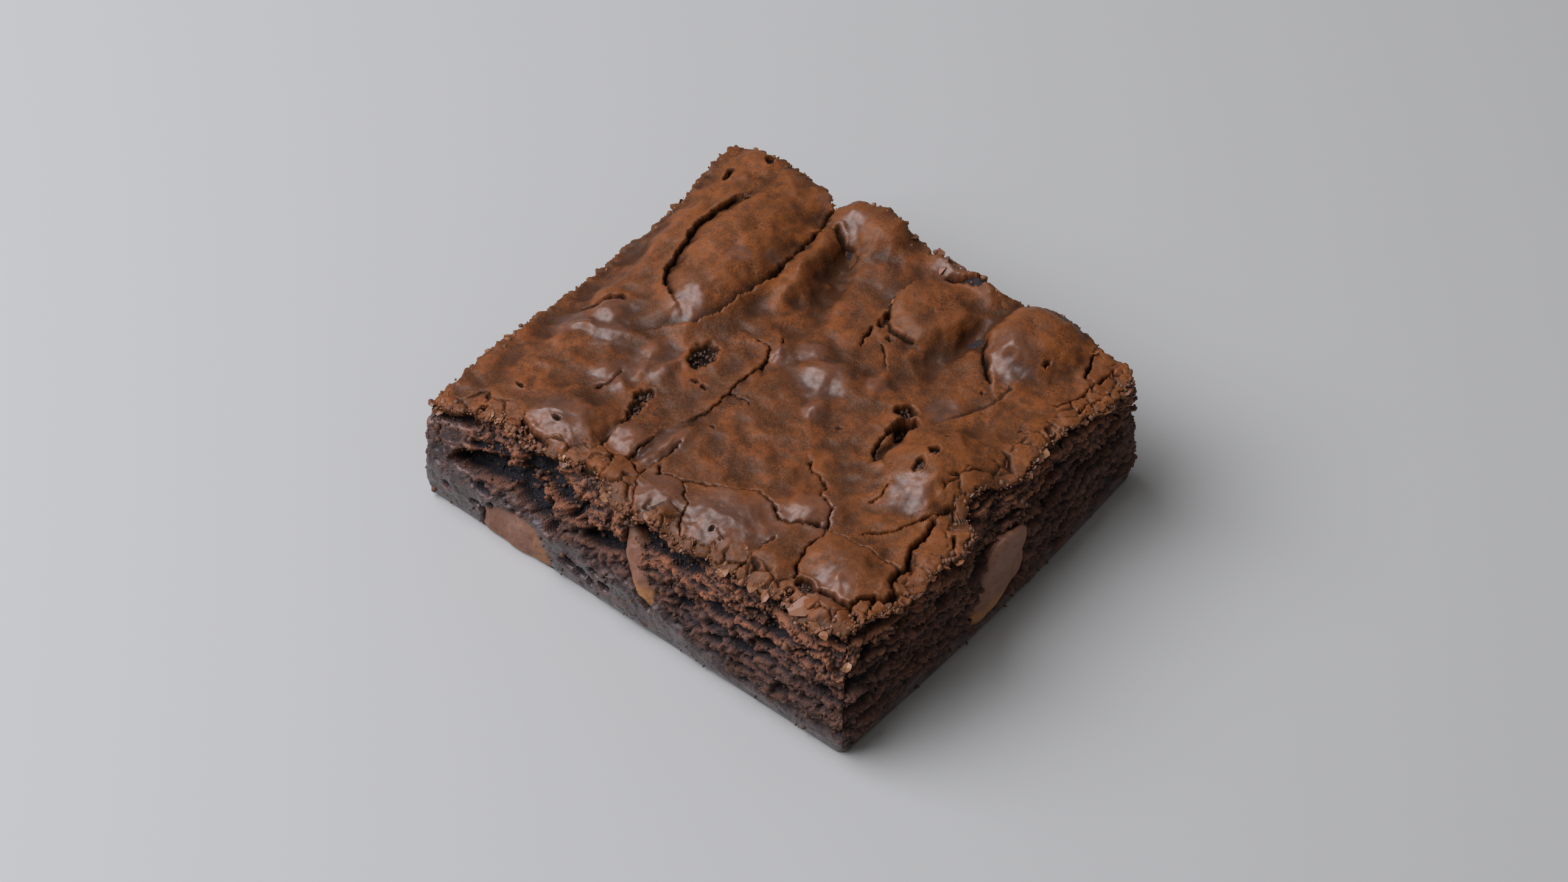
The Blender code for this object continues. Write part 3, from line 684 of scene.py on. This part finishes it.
def cocoa_crumb(tree, depth, smooth, warm):
    """Moist cocoa crumb, dark brown, with painted shade making it near black in its pits and grooves, and a
    painted highlight making the grains that stick out a lighter orange brown, which near the crust is also
    the crumb's own colour; a faint greasy sheen low down, where the knife has smoothed it."""
    rust = product(tree, grain_of(tree, 2.6, 2.0, 0.5, 0.66, 0.5), grain_of(tree, 0.6, 2.0, 0.45, 0.6), 0.7)
    layers = (
        (grain_of(tree, 1.6, 3.0, 0.35, 0.65), "#543B2F"),
        (smooth, 0.7, "#3C2B27"),
        (rust, "#744528"),
        # painted highlight on the peaks, with the crumb's own orange near the crust
        (warm, "#985D39"),
        # painted shade in pits, grooves, tears, under the crust's lip and round the chocolate
        (depth, "#0D0705"),
    )
    open_face = node(tree, "MapRange", depth, 0.0, 0.6, 1.0, 0.0)
    fine = grain_of(tree, 0.3, 4.0)
    return {
        "Base Color": layered_colour(tree, "#35241C", layers),
        "Roughness": node(tree, "MapRange", smooth, 0.0, 1.0, 0.68, 0.42),
        "Normal": node(tree, "Bump", named={"Height": fine, "Strength": 0.8, "Distance": 0.0004}),
        "Specular Tint": colour("#E6EBFF"),
        "Coat Weight": product(tree, smooth, open_face, 0.9),
        "Coat Roughness": 0.31,
    }


ends = (("front", FRONT_COLUMNS), ("right", RIGHT_COLUMNS), ("back", BACK_COLUMNS), ("left", LEFT_COLUMNS))
runs = [np.arange(count) / count * 2.0 - 1.0 for _, count in ends]
around_u = np.concatenate([runs[0], np.ones(RIGHT_COLUMNS), -runs[2], -np.ones(LEFT_COLUMNS)])
around_v = np.concatenate([-np.ones(FRONT_COLUMNS), runs[1], np.ones(BACK_COLUMNS), -runs[3]])
on_side = {name: np.repeat([name == other for other, _ in ends], [n for _, n in ends]) for name, _ in ends}
foot_x, foot_y = plan(around_u, around_v, 0.0)
rim_x, rim_y = plan(around_u, around_v, 1.0)
rim_z = crust_height(rim_x, rim_y) - 0.75
share = np.linspace(0.0, 1.0, CRUMB_ROWS)[:, None]
x = foot_x + (rim_x - foot_x) * lean(share)
y = foot_y + (rim_y - foot_y) * lean(share)
z = rim_z * share
tuck = BASE_TUCK * (1.0 - np.clip(z / 2.5, 0.0, 1.0)) ** 2
x, y = x * (1.0 - tuck / HALF_LENGTH), y * (1.0 - tuck / HALF_WIDTH)
smooth_face = np.stack([x, y, z], axis=-1)
normal = normals_of(smooth_face)

smooth_below = np.where(on_side["front"], 7.4 - 4.2 * ramp(0.0, 16.0, x), 4.0)
smooth_below = np.where(on_side["right"], 2.0, smooth_below)
height_share = ramp(-1.4, 1.4, z - smooth_below + 1.3 * noise(smooth_face, 4.0, 61))
left_corner = (on_side["front"] | on_side["left"]) * ramp(-27.0, -33.5, x) * ramp(-20.0, -30.0, y)
height_share *= 1.0 - 0.75 * left_corner
flatten = np.where(on_side["front"], 1.35 + 0.45 * ramp(0.0, 14.0, x), 1.9)[..., None]
flatten = np.concatenate([np.ones_like(flatten), np.ones_like(flatten), flatten], axis=-1)
sloped = smooth_face - np.stack([0.0 * z, 0.0 * z, 0.06 * np.where(on_side["right"], y, 0.0)], axis=-1)
bent = sloped + np.stack([noise(smooth_face, 2.6, seed) for seed in (62, 63, 64)], axis=-1) * 0.9
bent += np.stack([noise(smooth_face, 0.9, seed) for seed in (65, 66, 67)], axis=-1) * 0.3
slab_first, slab_second, slab = cells(bent * flatten, SLAB_SIZE, 68)
chip_first, chip_second, chip = cells(bent * flatten, CHIP_SIZE, 69)
bead_first = cells(bent, BEAD_SIZE, 70)[0]
rough = 0.16 + 0.84 * height_share
# Thin layers, which rise a little along each side: how many lie below each point.
layer_spacing = np.where(on_side["front"], 1.9, 1.5)
layer = (z - 0.06 * np.where(on_side["right"], y, 0.4 * x)) / layer_spacing
layer += 0.8 * noise(smooth_face * (0.2, 0.2, 0.7), 2.2, 71)
layer += 0.16 * noise(smooth_face, 1.1, 74)
groove = hill((layer - np.floor(layer) - 0.5) / 0.33)
groove *= 0.15 + 0.85 * ramp(-0.3, 0.4, noise(smooth_face * (0.35, 0.35, 1.2), 3.0, 72))
groove *= np.where(on_side["front"], 0.12 + 0.88 * ramp(-2.0, 8.0, x), 1.0) * height_share
layered = np.where(on_side["front"], ramp(0.0, 12.0, x), 1.0)
moved = 0.4 * noise(smooth_face, 5.5, 73) - 0.85 * groove
moved += rough * ((1.5 - 0.5 * layered) * (slab - 0.6) + (0.9 - 0.25 * layered) * (chip - 0.5))
beads, soft_chips = 0.45 - bead_first / BEAD_SIZE, 0.45 - chip_first / CHIP_SIZE
moved += rough * 0.3 * beads + (1.0 - rough) * 0.16 * soft_chips
joint = hill((slab_second - slab_first) / 0.35) + 0.6 * hill((chip_second - chip_first) / 0.2)
moved -= rough * 0.35 * np.clip(joint, 0.0, 1.0)
under_lip = hill((rim_z - z - 0.7) / 1.1) * ramp(-0.3, 0.25, noise(smooth_face * (0.5, 0.5, 1.0), 3.0, 75))
moved -= 1.3 * under_lip
# Painted shade: pits, joints, layer grooves, the hollow under the crust's lip, the tears and the gaps round
# the chocolate are painted darker, down to near black.
cavity_shade = 0.6 * ramp(0.4, 0.0, slab) + 0.4 * ramp(0.4, 0.0, chip) + 0.4 * joint - 0.3
cavity_shade = rough * np.clip(cavity_shade, 0.0, 0.8)
cavity_shade = np.maximum(cavity_shade, np.maximum(0.9 * groove, 0.9 * under_lip))


def face_reach(side, middle, height, half_length, half_height, turn):
    """Distance of every point of the band from the centre of an ellipse that lies on a side, in the
    ellipse's own turned axes, 1 on its outline."""
    along = smooth_face[..., 0 if side == "front" else 1]
    return ellipse(along, smooth_face[..., 2], middle, height, half_length, half_height, turn)


torn = 0.30 * noise(smooth_face, 1.5, 71) + 0.16 * noise(smooth_face, 0.7, 72)
hollows = [(side, *hollow) for side, table in HOLLOWS.items() for hollow in table]
for side, middle, height, half_length, half_height, turn, depth in hollows:
    reach = face_reach(side, middle, height, half_length, half_height, turn)
    inside = ramp(1.45, 0.9, reach + torn / max(half_height, 0.7)) * on_side[side]
    moved = moved * (1.0 - 0.7 * inside) - 1.3 * depth * inside
    cavity_shade = np.maximum(cavity_shade, ramp(0.25, 0.85, inside))
for name, side, middle, height, turn, half_length, half_height, _ in CHUNKS:
    reach = face_reach(side, middle, height, half_length, half_height, turn)
    beside = ramp(1.06, 0.94, reach + 0.45 * torn) * on_side[side]
    moved = moved * (1.0 - beside) - 1.6 * beside
    cavity_shade = np.maximum(cavity_shade, 0.85 * beside)
# Peaks and pits are what stands out of a blurred copy of the surface, and what lies below it: the pits are
# painted shade, the peaks a painted highlight.
level = moved.copy()
for _ in range(LEVEL_BLURS):
    padded = np.pad(level, ((1, 1), (0, 0)), mode="edge")
    sideways = np.roll(level, 1, axis=1) + np.roll(level, -1, axis=1)
    level = (sideways + 2.0 * padded[1:-1] + padded[2:] + padded[:-2]) / 6.0
peak_highlight = np.clip(0.15 + 2.9 * (moved - level), 0.0, 1.0) * (0.25 + 0.75 * rough)
cavity_shade = np.maximum(cavity_shade, 0.7 * np.clip(-3.2 * (moved - level) - 0.1, 0.0, 1.0))
moved *= ramp(0.0, 1.4, z)
faces = smooth_face + normal * moved[..., None]
faces[0, :, 2] = 0.0

bands = [faces]
for inset, drop in UNDER_CRUST:
    x, y = plan(around_u * (1.0 - inset / HALF_LENGTH), around_v * (1.0 - inset / HALF_WIDTH))
    bands.append(np.stack([x, y, crust_height(x, y) - drop], axis=-1)[None])
band = np.vstack(bands)
rows, columns = band.shape[:2]
points = np.vstack([band.reshape(-1, 3), [[0.0, 0.0, CORE_HEIGHT], [0.0, 0.0, 0.0]]])
around = np.arange(columns)
following = np.roll(around, -1)
last = (rows - 1) * columns
lid = np.stack([last + around, last + following, np.full(columns, len(points) - 2)], axis=-1)
base = np.stack([following, around, np.full(columns, len(points) - 1)], axis=-1)
extra = len(points) - faces[..., 0].size
# Painted highlight: the peaks are painted a lighter orange, most near the crust, where the crumb is also
# orange of its own.
right_warm, other_warm = 0.3 + 0.7 * ramp(0.6, 0.95, share), 0.28 + 0.9 * ramp(0.55, 0.85, share)
warm = peak_highlight * np.where(on_side["right"], right_warm, other_warm)
crumb = make_piece(
    "crumb",
    points,
    grid_quads(rows, columns, wrapped=True),
    np.vstack([lid, base]),
    make_material("cocoa_crumb", cocoa_crumb, ("depth", "smooth", "warm")),
    {
        # depth holds the painted shade: the cavities, and the bands under the crust at 0.8
        "depth": np.append(cavity_shade, np.full(extra, 0.8)),
        "smooth": np.append(1.0 - height_share, np.zeros(extra)),
        "warm": np.append(warm, np.zeros(extra)),
    },
)
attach(crumb, whole_body)
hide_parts("brownie")

# ----------------------------------------
# The lumps of milk chocolate: pieces of a bar stirred into the batter. The knife has cut through
# them, and smeared the soft chocolate over their faces.
# ----------------------------------------

CHUNK_RINGS = 84
CHUNK_SPOKES = 150


def chunk_points(side, middle, height, face, turn, half_length, half_height, lean_back, seed):
    """A cushion with a squarish outline: rings of points from the middle of the face to the rim and
    round it to the back, each ring a superellipse; the face is a little domed and uneven."""
    ring = np.linspace(0.0, 1.0, CHUNK_RINGS)[:, None]
    angle = np.linspace(0.0, 2.0 * np.pi, CHUNK_SPOKES, endpoint=False)[None]
    bend = np.clip((ring - 0.72) / 0.28, 0.0, 1.0) * (math.pi / 2.0 + 0.5)
    radius = np.where(ring < 0.72, ring / 0.72 * 0.8, 0.8 + 0.2 * np.sin(np.minimum(bend, math.pi / 2.0)))
    radius = radius - 0.35 * np.clip(bend - math.pi / 2.0, 0.0, None)
    past_rim = np.clip(bend - math.pi / 2.0, 0.0, None)
    back = 0.16 * (1.0 - np.cos(np.minimum(bend, math.pi / 2.0))) + 0.9 * past_rim
    square = (np.abs(np.cos(angle)) ** 2.5 + np.abs(np.sin(angle)) ** 2.5) ** (-1.0 / 2.5)
    across = radius * square * half_length * np.cos(angle)
    upward = radius * square * half_height * np.sin(angle)
    cosine, sine = math.cos(math.radians(turn)), math.sin(math.radians(turn))
    along = across * cosine - upward * sine
    rise = across * sine + upward * cosine
    out = -0.7 * np.clip(radius, 0.0, 1.0) ** 2.5 - 4.0 * back
    spot = np.stack([along, rise, np.zeros_like(along)], axis=-1)
    out = out + 0.30 * noise(spot, 3.6, seed) + 0.10 * noise(spot, 1.3, seed + 1)
    out = out + 0.035 * noise(spot, 0.5, seed + 2)
    out = out - lean_back * np.clip(rise + 3.0, 0.0, None)
    wobble = 1.0 + 0.12 * noise(spot, 2.8, seed + 3) + 0.04 * noise(spot, 0.9, seed + 4)
    shifted, lifted = middle + along * wobble, height + rise * wobble
    places = [shifted, -(face + out), lifted] if side == "front" else [face + out, shifted, lifted]
    return np.stack(places, axis=-1), along, rise


def milk_chocolate(tree, smear):
    """Milk chocolate, cut and smeared: a soft satin brown with a pale bloom, and tan where a thin
    film has been dragged over the crumb."""
    layers = (
        (grain_of(tree, 3.0, 2.0, 0.35, 0.65), "#8C6452"),
        (smear, "#A87448"),
        (grain_of(tree, 0.8, 3.0, 0.55, 0.7), 0.5, "#5A3A2C"),
    )
    fine = grain_of(tree, 0.5, 4.0)
    return {
        "Base Color": layered_colour(tree, "#80543F", layers),
        "Roughness": node(tree, "MapRange", smear, 0.0, 1.0, 0.48, 0.6),
        "Normal": node(tree, "Bump", named={"Height": fine, "Strength": 0.35, "Distance": 0.0002}),
        "Specular IOR Level": 0.35,
    }


chocolate = make_material("milk_chocolate", milk_chocolate, ("smear",))
for seed, (name, side, middle, height, turn, half_length, half_height, lean_back) in enumerate(CHUNKS):
    face = face_of(name, side) - 0.1
    shape_seed = 81 + 7 * seed
    grid, along, rise = chunk_points(
        side, middle, height, face, turn, half_length, half_height, lean_back, shape_seed
    )
    grid[..., 2] = np.maximum(grid[..., 2], 0.3 + 0.1 * grid[..., 2] / half_height)
    low = ramp(-0.2, -0.65, rise / (half_height + 1.0) + 0.35 * noise(grid, 2.2, 90))
    edge = ramp(0.3, 0.8, along / half_length + 0.3 * noise(grid, 1.6, 91))
    smear = np.clip(low + edge * 0.5, 0.0, 1.0)
    rows, columns = grid.shape[:2]
    quads = grid_quads(rows, columns, wrapped=True)
    if side == "front":
        quads = quads[:, ::-1]
    points = grid.reshape(-1, 3)
    back_centre = points[-columns:].mean(axis=0)
    around = (rows - 1) * columns + np.arange(columns)
    following = (rows - 1) * columns + np.roll(np.arange(columns), -1)
    fan = np.stack([around, following, np.full(columns, len(points))], axis=-1)
    fan = fan[:, ::-1] if side == "front" else fan
    values = {"smear": np.append(smear, 0.0)}
    piece = make_piece(name + "_fine", np.vstack([points, back_centre]), quads, fan, chocolate, values)
    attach(piece, whole_body)
    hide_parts(name)

# ----------------------------------------
# Loose crumbs: grains of crumb torn off by the knife, which stick to the cut sides, lie thickest
# just under the crust, and are scattered in the cracks and pits of the crust.
# ----------------------------------------

GRAIN_COUNT = 5800
RIM_GRAINS = 1300
HOLE_GRAINS = GRAIN_COUNT // 8
dice = np.random.default_rng(5)


def random_turns(count, dice):
    """Rotation matrices spread evenly over all directions, from random unit quaternions."""
    q = dice.normal(size=(count, 4))
    w, x, y, z = (q / np.linalg.norm(q, axis=1, keepdims=True)).T
    rows = (
        (1 - 2 * (y * y + z * z), 2 * (x * y - w * z), 2 * (x * z + w * y)),
        (2 * (x * y + w * z), 1 - 2 * (x * x + z * z), 2 * (y * z - w * x)),
        (2 * (x * z - w * y), 2 * (y * z + w * x), 1 - 2 * (x * x + y * y)),
    )
    return np.stack([np.stack(row, axis=-1) for row in rows], axis=1)


def icosahedron():
    """The twelve corners, on the unit sphere, and twenty outward faces of an icosahedron."""
    golden = (1.0 + math.sqrt(5.0)) / 2.0
    corners = [
        (-1, golden, 0), (1, golden, 0), (-1, -golden, 0), (1, -golden, 0), (0, -1, golden), (0, 1, golden),
        (0, -1, -golden), (0, 1, -golden), (golden, 0, -1), (golden, 0, 1), (-golden, 0, -1), (-golden, 0, 1),
    ]
    triangles = [
        (0, 11, 5), (0, 5, 1), (0, 1, 7), (0, 7, 10), (0, 10, 11), (1, 5, 9), (5, 11, 4), (11, 10, 2),
        (10, 7, 6), (7, 1, 8), (3, 9, 4), (3, 4, 2), (3, 2, 6), (3, 6, 8), (3, 8, 9), (4, 9, 5), (2, 4, 11),
        (6, 2, 10), (8, 6, 7), (9, 8, 1),
    ]
    return np.array(corners) / math.hypot(1.0, golden), np.array(triangles)


def loose_crumb(tree, tone):
    """Loose crumb: dry and matte, from nearly black to a rusty brown, one tone to a grain."""
    dark = node(tree, "MapRange", tone, 0.0, 0.6)
    pale = node(tree, "MapRange", tone, 0.6, 1.0)
    return {
        "Base Color": layered_colour(tree, "#3A251C", ((dark, "#6B4630"), (pale, "#8A5836"))),
        "Roughness": 0.7,
    }


def rim_spots(count, dice):
    """Random points near the crust's rim: most on the front and right, some a little in from it."""
    side = dice.choice(4, count, p=(0.42, 0.38, 0.11, 0.09))
    place = dice.uniform(-0.97, 0.97, count)
    inset = np.abs(dice.normal(0.0, 0.9, count)) - 0.25
    across = 1.0 - inset / np.where(side % 2 == 0, HALF_WIDTH, HALF_LENGTH)
    u = np.select([side == 0, side == 1, side == 2], [place, across, place], -across)
    v = np.select([side == 0, side == 1, side == 2], [-across, place, across], place)
    x, y = plan(u, v)
    return np.stack([x, y, crust_height(x, y) - 0.35 - 0.9 * np.clip(-inset, 0.0, 1.0)], axis=-1)


row_weight = 0.3 + 2.2 * ramp(0.5, 0.9, share)
column_weight = np.where(on_side["front"], 1.3, np.where(on_side["right"], 1.0, 0.7))
length = np.linalg.norm(np.roll(faces, -1, axis=1) - faces, axis=-1)
clumps = 0.4 + np.clip(noise(smooth_face, 3.0, 95) + 0.3, 0.0, 1.0)
weight = (row_weight * column_weight * length * clumps).ravel()
for name, side, middle, height, turn, half_length, half_height, _ in CHUNKS:
    reach = face_reach(side, middle, height, half_length, half_height, turn)
    weight = weight * np.where((reach < 1.05) & on_side[side], 0.0, 1.0).ravel()
chosen = dice.choice(len(weight), GRAIN_COUNT, p=weight / weight.sum())
spots = faces.reshape(-1, 3)[chosen] + dice.normal(size=(GRAIN_COUNT, 3)) * 0.12
size = np.clip(dice.lognormal(-1.55, 0.45, GRAIN_COUNT), 0.08, 0.6)
spots[:, 2] = np.maximum(spots[:, 2], 0.55 * size + 0.1)
on_rim = slice(HOLE_GRAINS, HOLE_GRAINS + RIM_GRAINS)
spots[on_rim] = rim_spots(RIM_GRAINS, dice) + (0.0, 0.0, 0.15)
deep_holes = np.array([hole for hole in HOLES if hole[2] * hole[3] > 0.5])
in_holes = dice.integers(0, len(deep_holes), HOLE_GRAINS)
hole_x, hole_y, half_x, half_y = deep_holes[in_holes, :4].T
hole_x = hole_x + dice.uniform(-0.8, 0.8, len(in_holes)) * half_x
hole_y = hole_y + dice.uniform(-0.8, 0.8, len(in_holes)) * half_y
hole_z = crust_height(hole_x, hole_y) - 1.1 * deep_holes[in_holes, 5]
spots[: len(in_holes)] = np.stack([hole_x, hole_y, hole_z], axis=-1)
tone = np.clip(dice.beta(1.4, 3.4, GRAIN_COUNT) + 0.22 * ramp(0.6, 0.9, spots[:, 2] / 17.0), 0.0, 1.0)
# Painted shade: grains on the right side are made darker, and those in the crust's holes much darker.
tone = tone * np.where(spots[:, 0] > 33.0, 0.7, 1.0)
tone[: len(in_holes)] *= 0.4
tone[on_rim] = np.clip(tone[on_rim] + 0.3, 0.0, 0.95)
corners, triangles = icosahedron()
shapes = corners[None] * dice.uniform(0.7, 1.3, (GRAIN_COUNT, 12, 1)) * size[:, None, None]
shapes = shapes * dice.uniform(0.55, 1.0, (GRAIN_COUNT, 1, 3))
shapes = np.einsum("nij,nkj->nki", random_turns(GRAIN_COUNT, dice), shapes) + spots[:, None]
shapes[..., 2] = np.maximum(shapes[..., 2], 0.02)
all_triangles = triangles[None] + 12 * np.arange(GRAIN_COUNT)[:, None, None]
grains = make_piece(
    "loose_crumbs",
    shapes.reshape(-1, 3),
    [],
    all_triangles,
    make_material("loose_crumb", loose_crumb, ("tone",)),
    {"tone": np.repeat(tone, 12)},
)
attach(grains, whole_body)

# ----------------------------------------
# Flakes: chips of the crust, thin and stiff, broken off along the knife cuts. They lie askew on the
# rim of the crust and hang over the crumb below it.
# ----------------------------------------

FLAKE_COUNT = 260
FLAKE_SIDES = 11

# Chips that stand out: x, y, height over the crust, radius, lean about x and y in degrees, tone.
NAMED_FLAKES = (
    (25.4, -27.4, 0.3, 2.0, 14, -8, 0.55), (18.0, -28.4, 0.5, 0.9, 50, 10, 0.7),
    (20.2, -28.6, 0.5, 0.9, 45, -20, 0.7), (28.6, -28.8, 0.4, 0.9, 50, 15, 0.75),
    (30.2, -29.0, 0.4, 0.8, 40, -15, 0.7), (13.5, -24.5, 0.3, 0.7, 15, 20, 0.7),
    (13.3, -28.6, 0.3, 0.9, 30, 0, 0.75), (-28.8, -26.4, 0.4, 0.8, 30, 10, 0.75),
    (-27.0, -26.3, 0.3, 0.6, 25, -15, 0.7), (-16.0, -26.3, 0.3, 0.8, 30, 0, 0.9),
    (-7.0, -28.0, 0.3, 0.8, 35, 10, 0.85), (14.0, 30.2, 0.2, 1.4, -20, 12, 0.65),
    (3.0, 29.4, 0.3, 1.2, 24, -10, 0.6), (2.0, 13.2, 0.3, 0.6, 10, 20, 0.75),
    (1.9, 20.8, 0.3, 0.5, 20, -10, 0.75), (35.0, -30.4, -1.0, 0.8, 40, 20, 0.85),
)


def crust_flake(tree, tone):
    """A chip of crust: satin brown on the baked side, tan where its broken edge shows."""
    dark = node(tree, "MapRange", tone, 0.0, 0.7)
    pale = node(tree, "MapRange", tone, 0.7, 1.0)
    return {
        "Base Color": layered_colour(tree, "#5A3219", ((dark, "#84502B"), (pale, "#A87A52"))),
        "Roughness": 0.5,
        "Coat Weight": 0.15,
    }


spots = rim_spots(FLAKE_COUNT, dice)
radius = np.clip(dice.lognormal(-0.75, 0.4, FLAKE_COUNT), 0.2, 1.1)
tilt = dice.uniform(0.0, 1.0, FLAKE_COUNT) ** 1.5
flake_tone = dice.beta(1.3, 3.2, FLAKE_COUNT)
named = np.array(NAMED_FLAKES)
named_z = crust_height(named[:, 0], named[:, 1]) + named[:, 2] - 0.5
spots = np.vstack([spots, np.stack([named[:, 0], named[:, 1], named_z], axis=-1)])
radius, flake_tone = np.append(radius, named[:, 3]), np.append(flake_tone, named[:, 6])
count = len(spots)
angle = np.linspace(0.0, 2.0 * np.pi, FLAKE_SIDES, endpoint=False)
angle = angle + dice.uniform(-0.2, 0.2, (count, FLAKE_SIDES))
reach = dice.uniform(0.78, 1.12, (count, FLAKE_SIDES)) * radius[:, None]
curl = 0.25 * np.minimum(radius, 0.7)[:, None] * np.cos(2.0 * angle + dice.uniform(0.0, 6.3, (count, 1)))
thick = np.clip(0.08 * radius[:, None] + 0.06, 0.08, 0.2) * np.ones_like(angle)
rim_points = np.stack([reach * np.cos(angle), reach * np.sin(angle) * 0.75, curl], axis=-1)
middle_thick, rim_thick = (0, 0, 1) * thick[:, :1, None], (0, 0, 0.5) * thick[..., None]
middle = np.zeros((count, 1, 3))
upper = np.concatenate([middle + middle_thick, rim_points + rim_thick], axis=1)
lower = np.concatenate([middle - middle_thick, rim_points - rim_thick], axis=1)
shapes = np.concatenate([upper, lower], axis=1)
turn_z = dice.uniform(0.0, 2.0 * np.pi, count)
lean_x = np.append(dice.normal(0.0, 0.3, FLAKE_COUNT) * (0.5 + tilt), np.radians(named[:, 4]))
lean_y = np.append(dice.normal(0.0, 0.3, FLAKE_COUNT) * (0.5 + tilt), np.radians(named[:, 5]))


def turned(points, angles, axis):
    """Each instance's points turned by its own angle about the x, y or z axis."""
    first, second = [(1, 2), (2, 0), (0, 1)][axis]
    cosine, sine = np.cos(angles)[:, None], np.sin(angles)[:, None]
    made = points.copy()
    made[..., first] = points[..., first] * cosine - points[..., second] * sine
    made[..., second] = points[..., first] * sine + points[..., second] * cosine
    return made


shapes = turned(turned(turned(shapes, turn_z, 2), lean_x, 0), lean_y, 1) + spots[:, None]
sides = np.arange(FLAKE_SIDES)
after = np.roll(sides, -1)
top_fan = np.stack([np.zeros_like(sides), 1 + sides, 1 + after], axis=-1)
below = FLAKE_SIDES + 1
under_fan = np.stack([np.full_like(sides, below), below + 1 + after, below + 1 + sides], axis=-1)
wall = np.stack([1 + sides, below + 1 + sides, below + 1 + after, 1 + after], axis=-1)
step = (2 * FLAKE_SIDES + 2) * np.arange(count)[:, None, None]
flakes = make_piece(
    "crust_flakes",
    shapes.reshape(-1, 3),
    wall[None] + step,
    (np.vstack([top_fan, under_fan])[None] + step),
    make_material("crust_flake", crust_flake, ("tone",)),
    {"tone": np.repeat(flake_tone, 2 * FLAKE_SIDES + 2)},
)
flakes.data.shade_flat()
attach(flakes, whole_body)

# ----------------------------------------
# The studio: a pale matte floor, one large soft lamp up on the left, an even dim room, the camera.
# ----------------------------------------


def soft_lamp(name, toward_light, distance, size, power, hex_code):
    """A square lamp at a distance in metres in a direction from the brownie, facing it."""
    direction = np.array(toward_light) / np.linalg.norm(toward_light)
    lamp = bpy.data.lights.new(name, "AREA")
    lamp.shape = "SQUARE"
    lamp.size = size
    lamp.energy = power
    lamp.color = colour(hex_code)[:3]
    held = bpy.data.objects.new(name, lamp)
    held.location = direction * distance
    held.rotation_euler = look_along(-direction)
    bpy.context.scene.collection.objects.link(held)


def look_along(direction):
    """The turn that points an object's -Z along a direction, with its Y up."""
    level = math.hypot(direction[0], direction[1])
    return (math.atan2(level, -direction[2]), 0.0, math.atan2(-direction[0], direction[1]))


def matte_floor(tree):
    """A pale grey matte sheet."""
    return {"Base Color": colour("#B2B1AD"), "Roughness": 0.6}


# Just under the brownie's base, in metres, and half the sheet's side.
FLOOR_HEIGHT = -0.0002
FLOOR_HALF = 2.0
floor_mesh = bpy.data.meshes.new("floor")
floor_corners = [
    (across * FLOOR_HALF, along * FLOOR_HALF, FLOOR_HEIGHT)
    for across, along in ((-1, -1), (1, -1), (1, 1), (-1, 1))
]
floor_mesh.from_pydata(floor_corners, [], [(0, 1, 2, 3)])
floor_mesh.materials.append(make_material("matte_floor", matte_floor))
floor = bpy.data.objects.new("floor", floor_mesh)
bpy.context.scene.collection.objects.link(floor)

soft_lamp("key", (-0.5, -0.34, 0.8), 0.9, 0.85, 13.2, "#F2F4FF")

world = bpy.data.worlds.new("room")
world.use_nodes = True
background = world.node_tree.nodes["Background"]
background.inputs["Color"].default_value = colour("#E8E8E8")
background.inputs["Strength"].default_value = 0.23
bpy.context.scene.world = world

CAMERA_DISTANCE = 0.503
TOWARD_CAMERA = np.array((0.426, -0.518, 0.742))
camera = bpy.data.objects.new("camera", bpy.data.cameras.new("camera"))
camera.data.lens = 85.0
camera.data.sensor_width = 36.0
camera.data.shift_x = -0.0004
camera.data.shift_y = 0.0274
camera.location = TOWARD_CAMERA * CAMERA_DISTANCE
camera.rotation_euler = look_along(-TOWARD_CAMERA)
bpy.context.scene.collection.objects.link(camera)
bpy.context.scene.camera = camera
bpy.context.scene.view_settings.view_transform = "Standard"
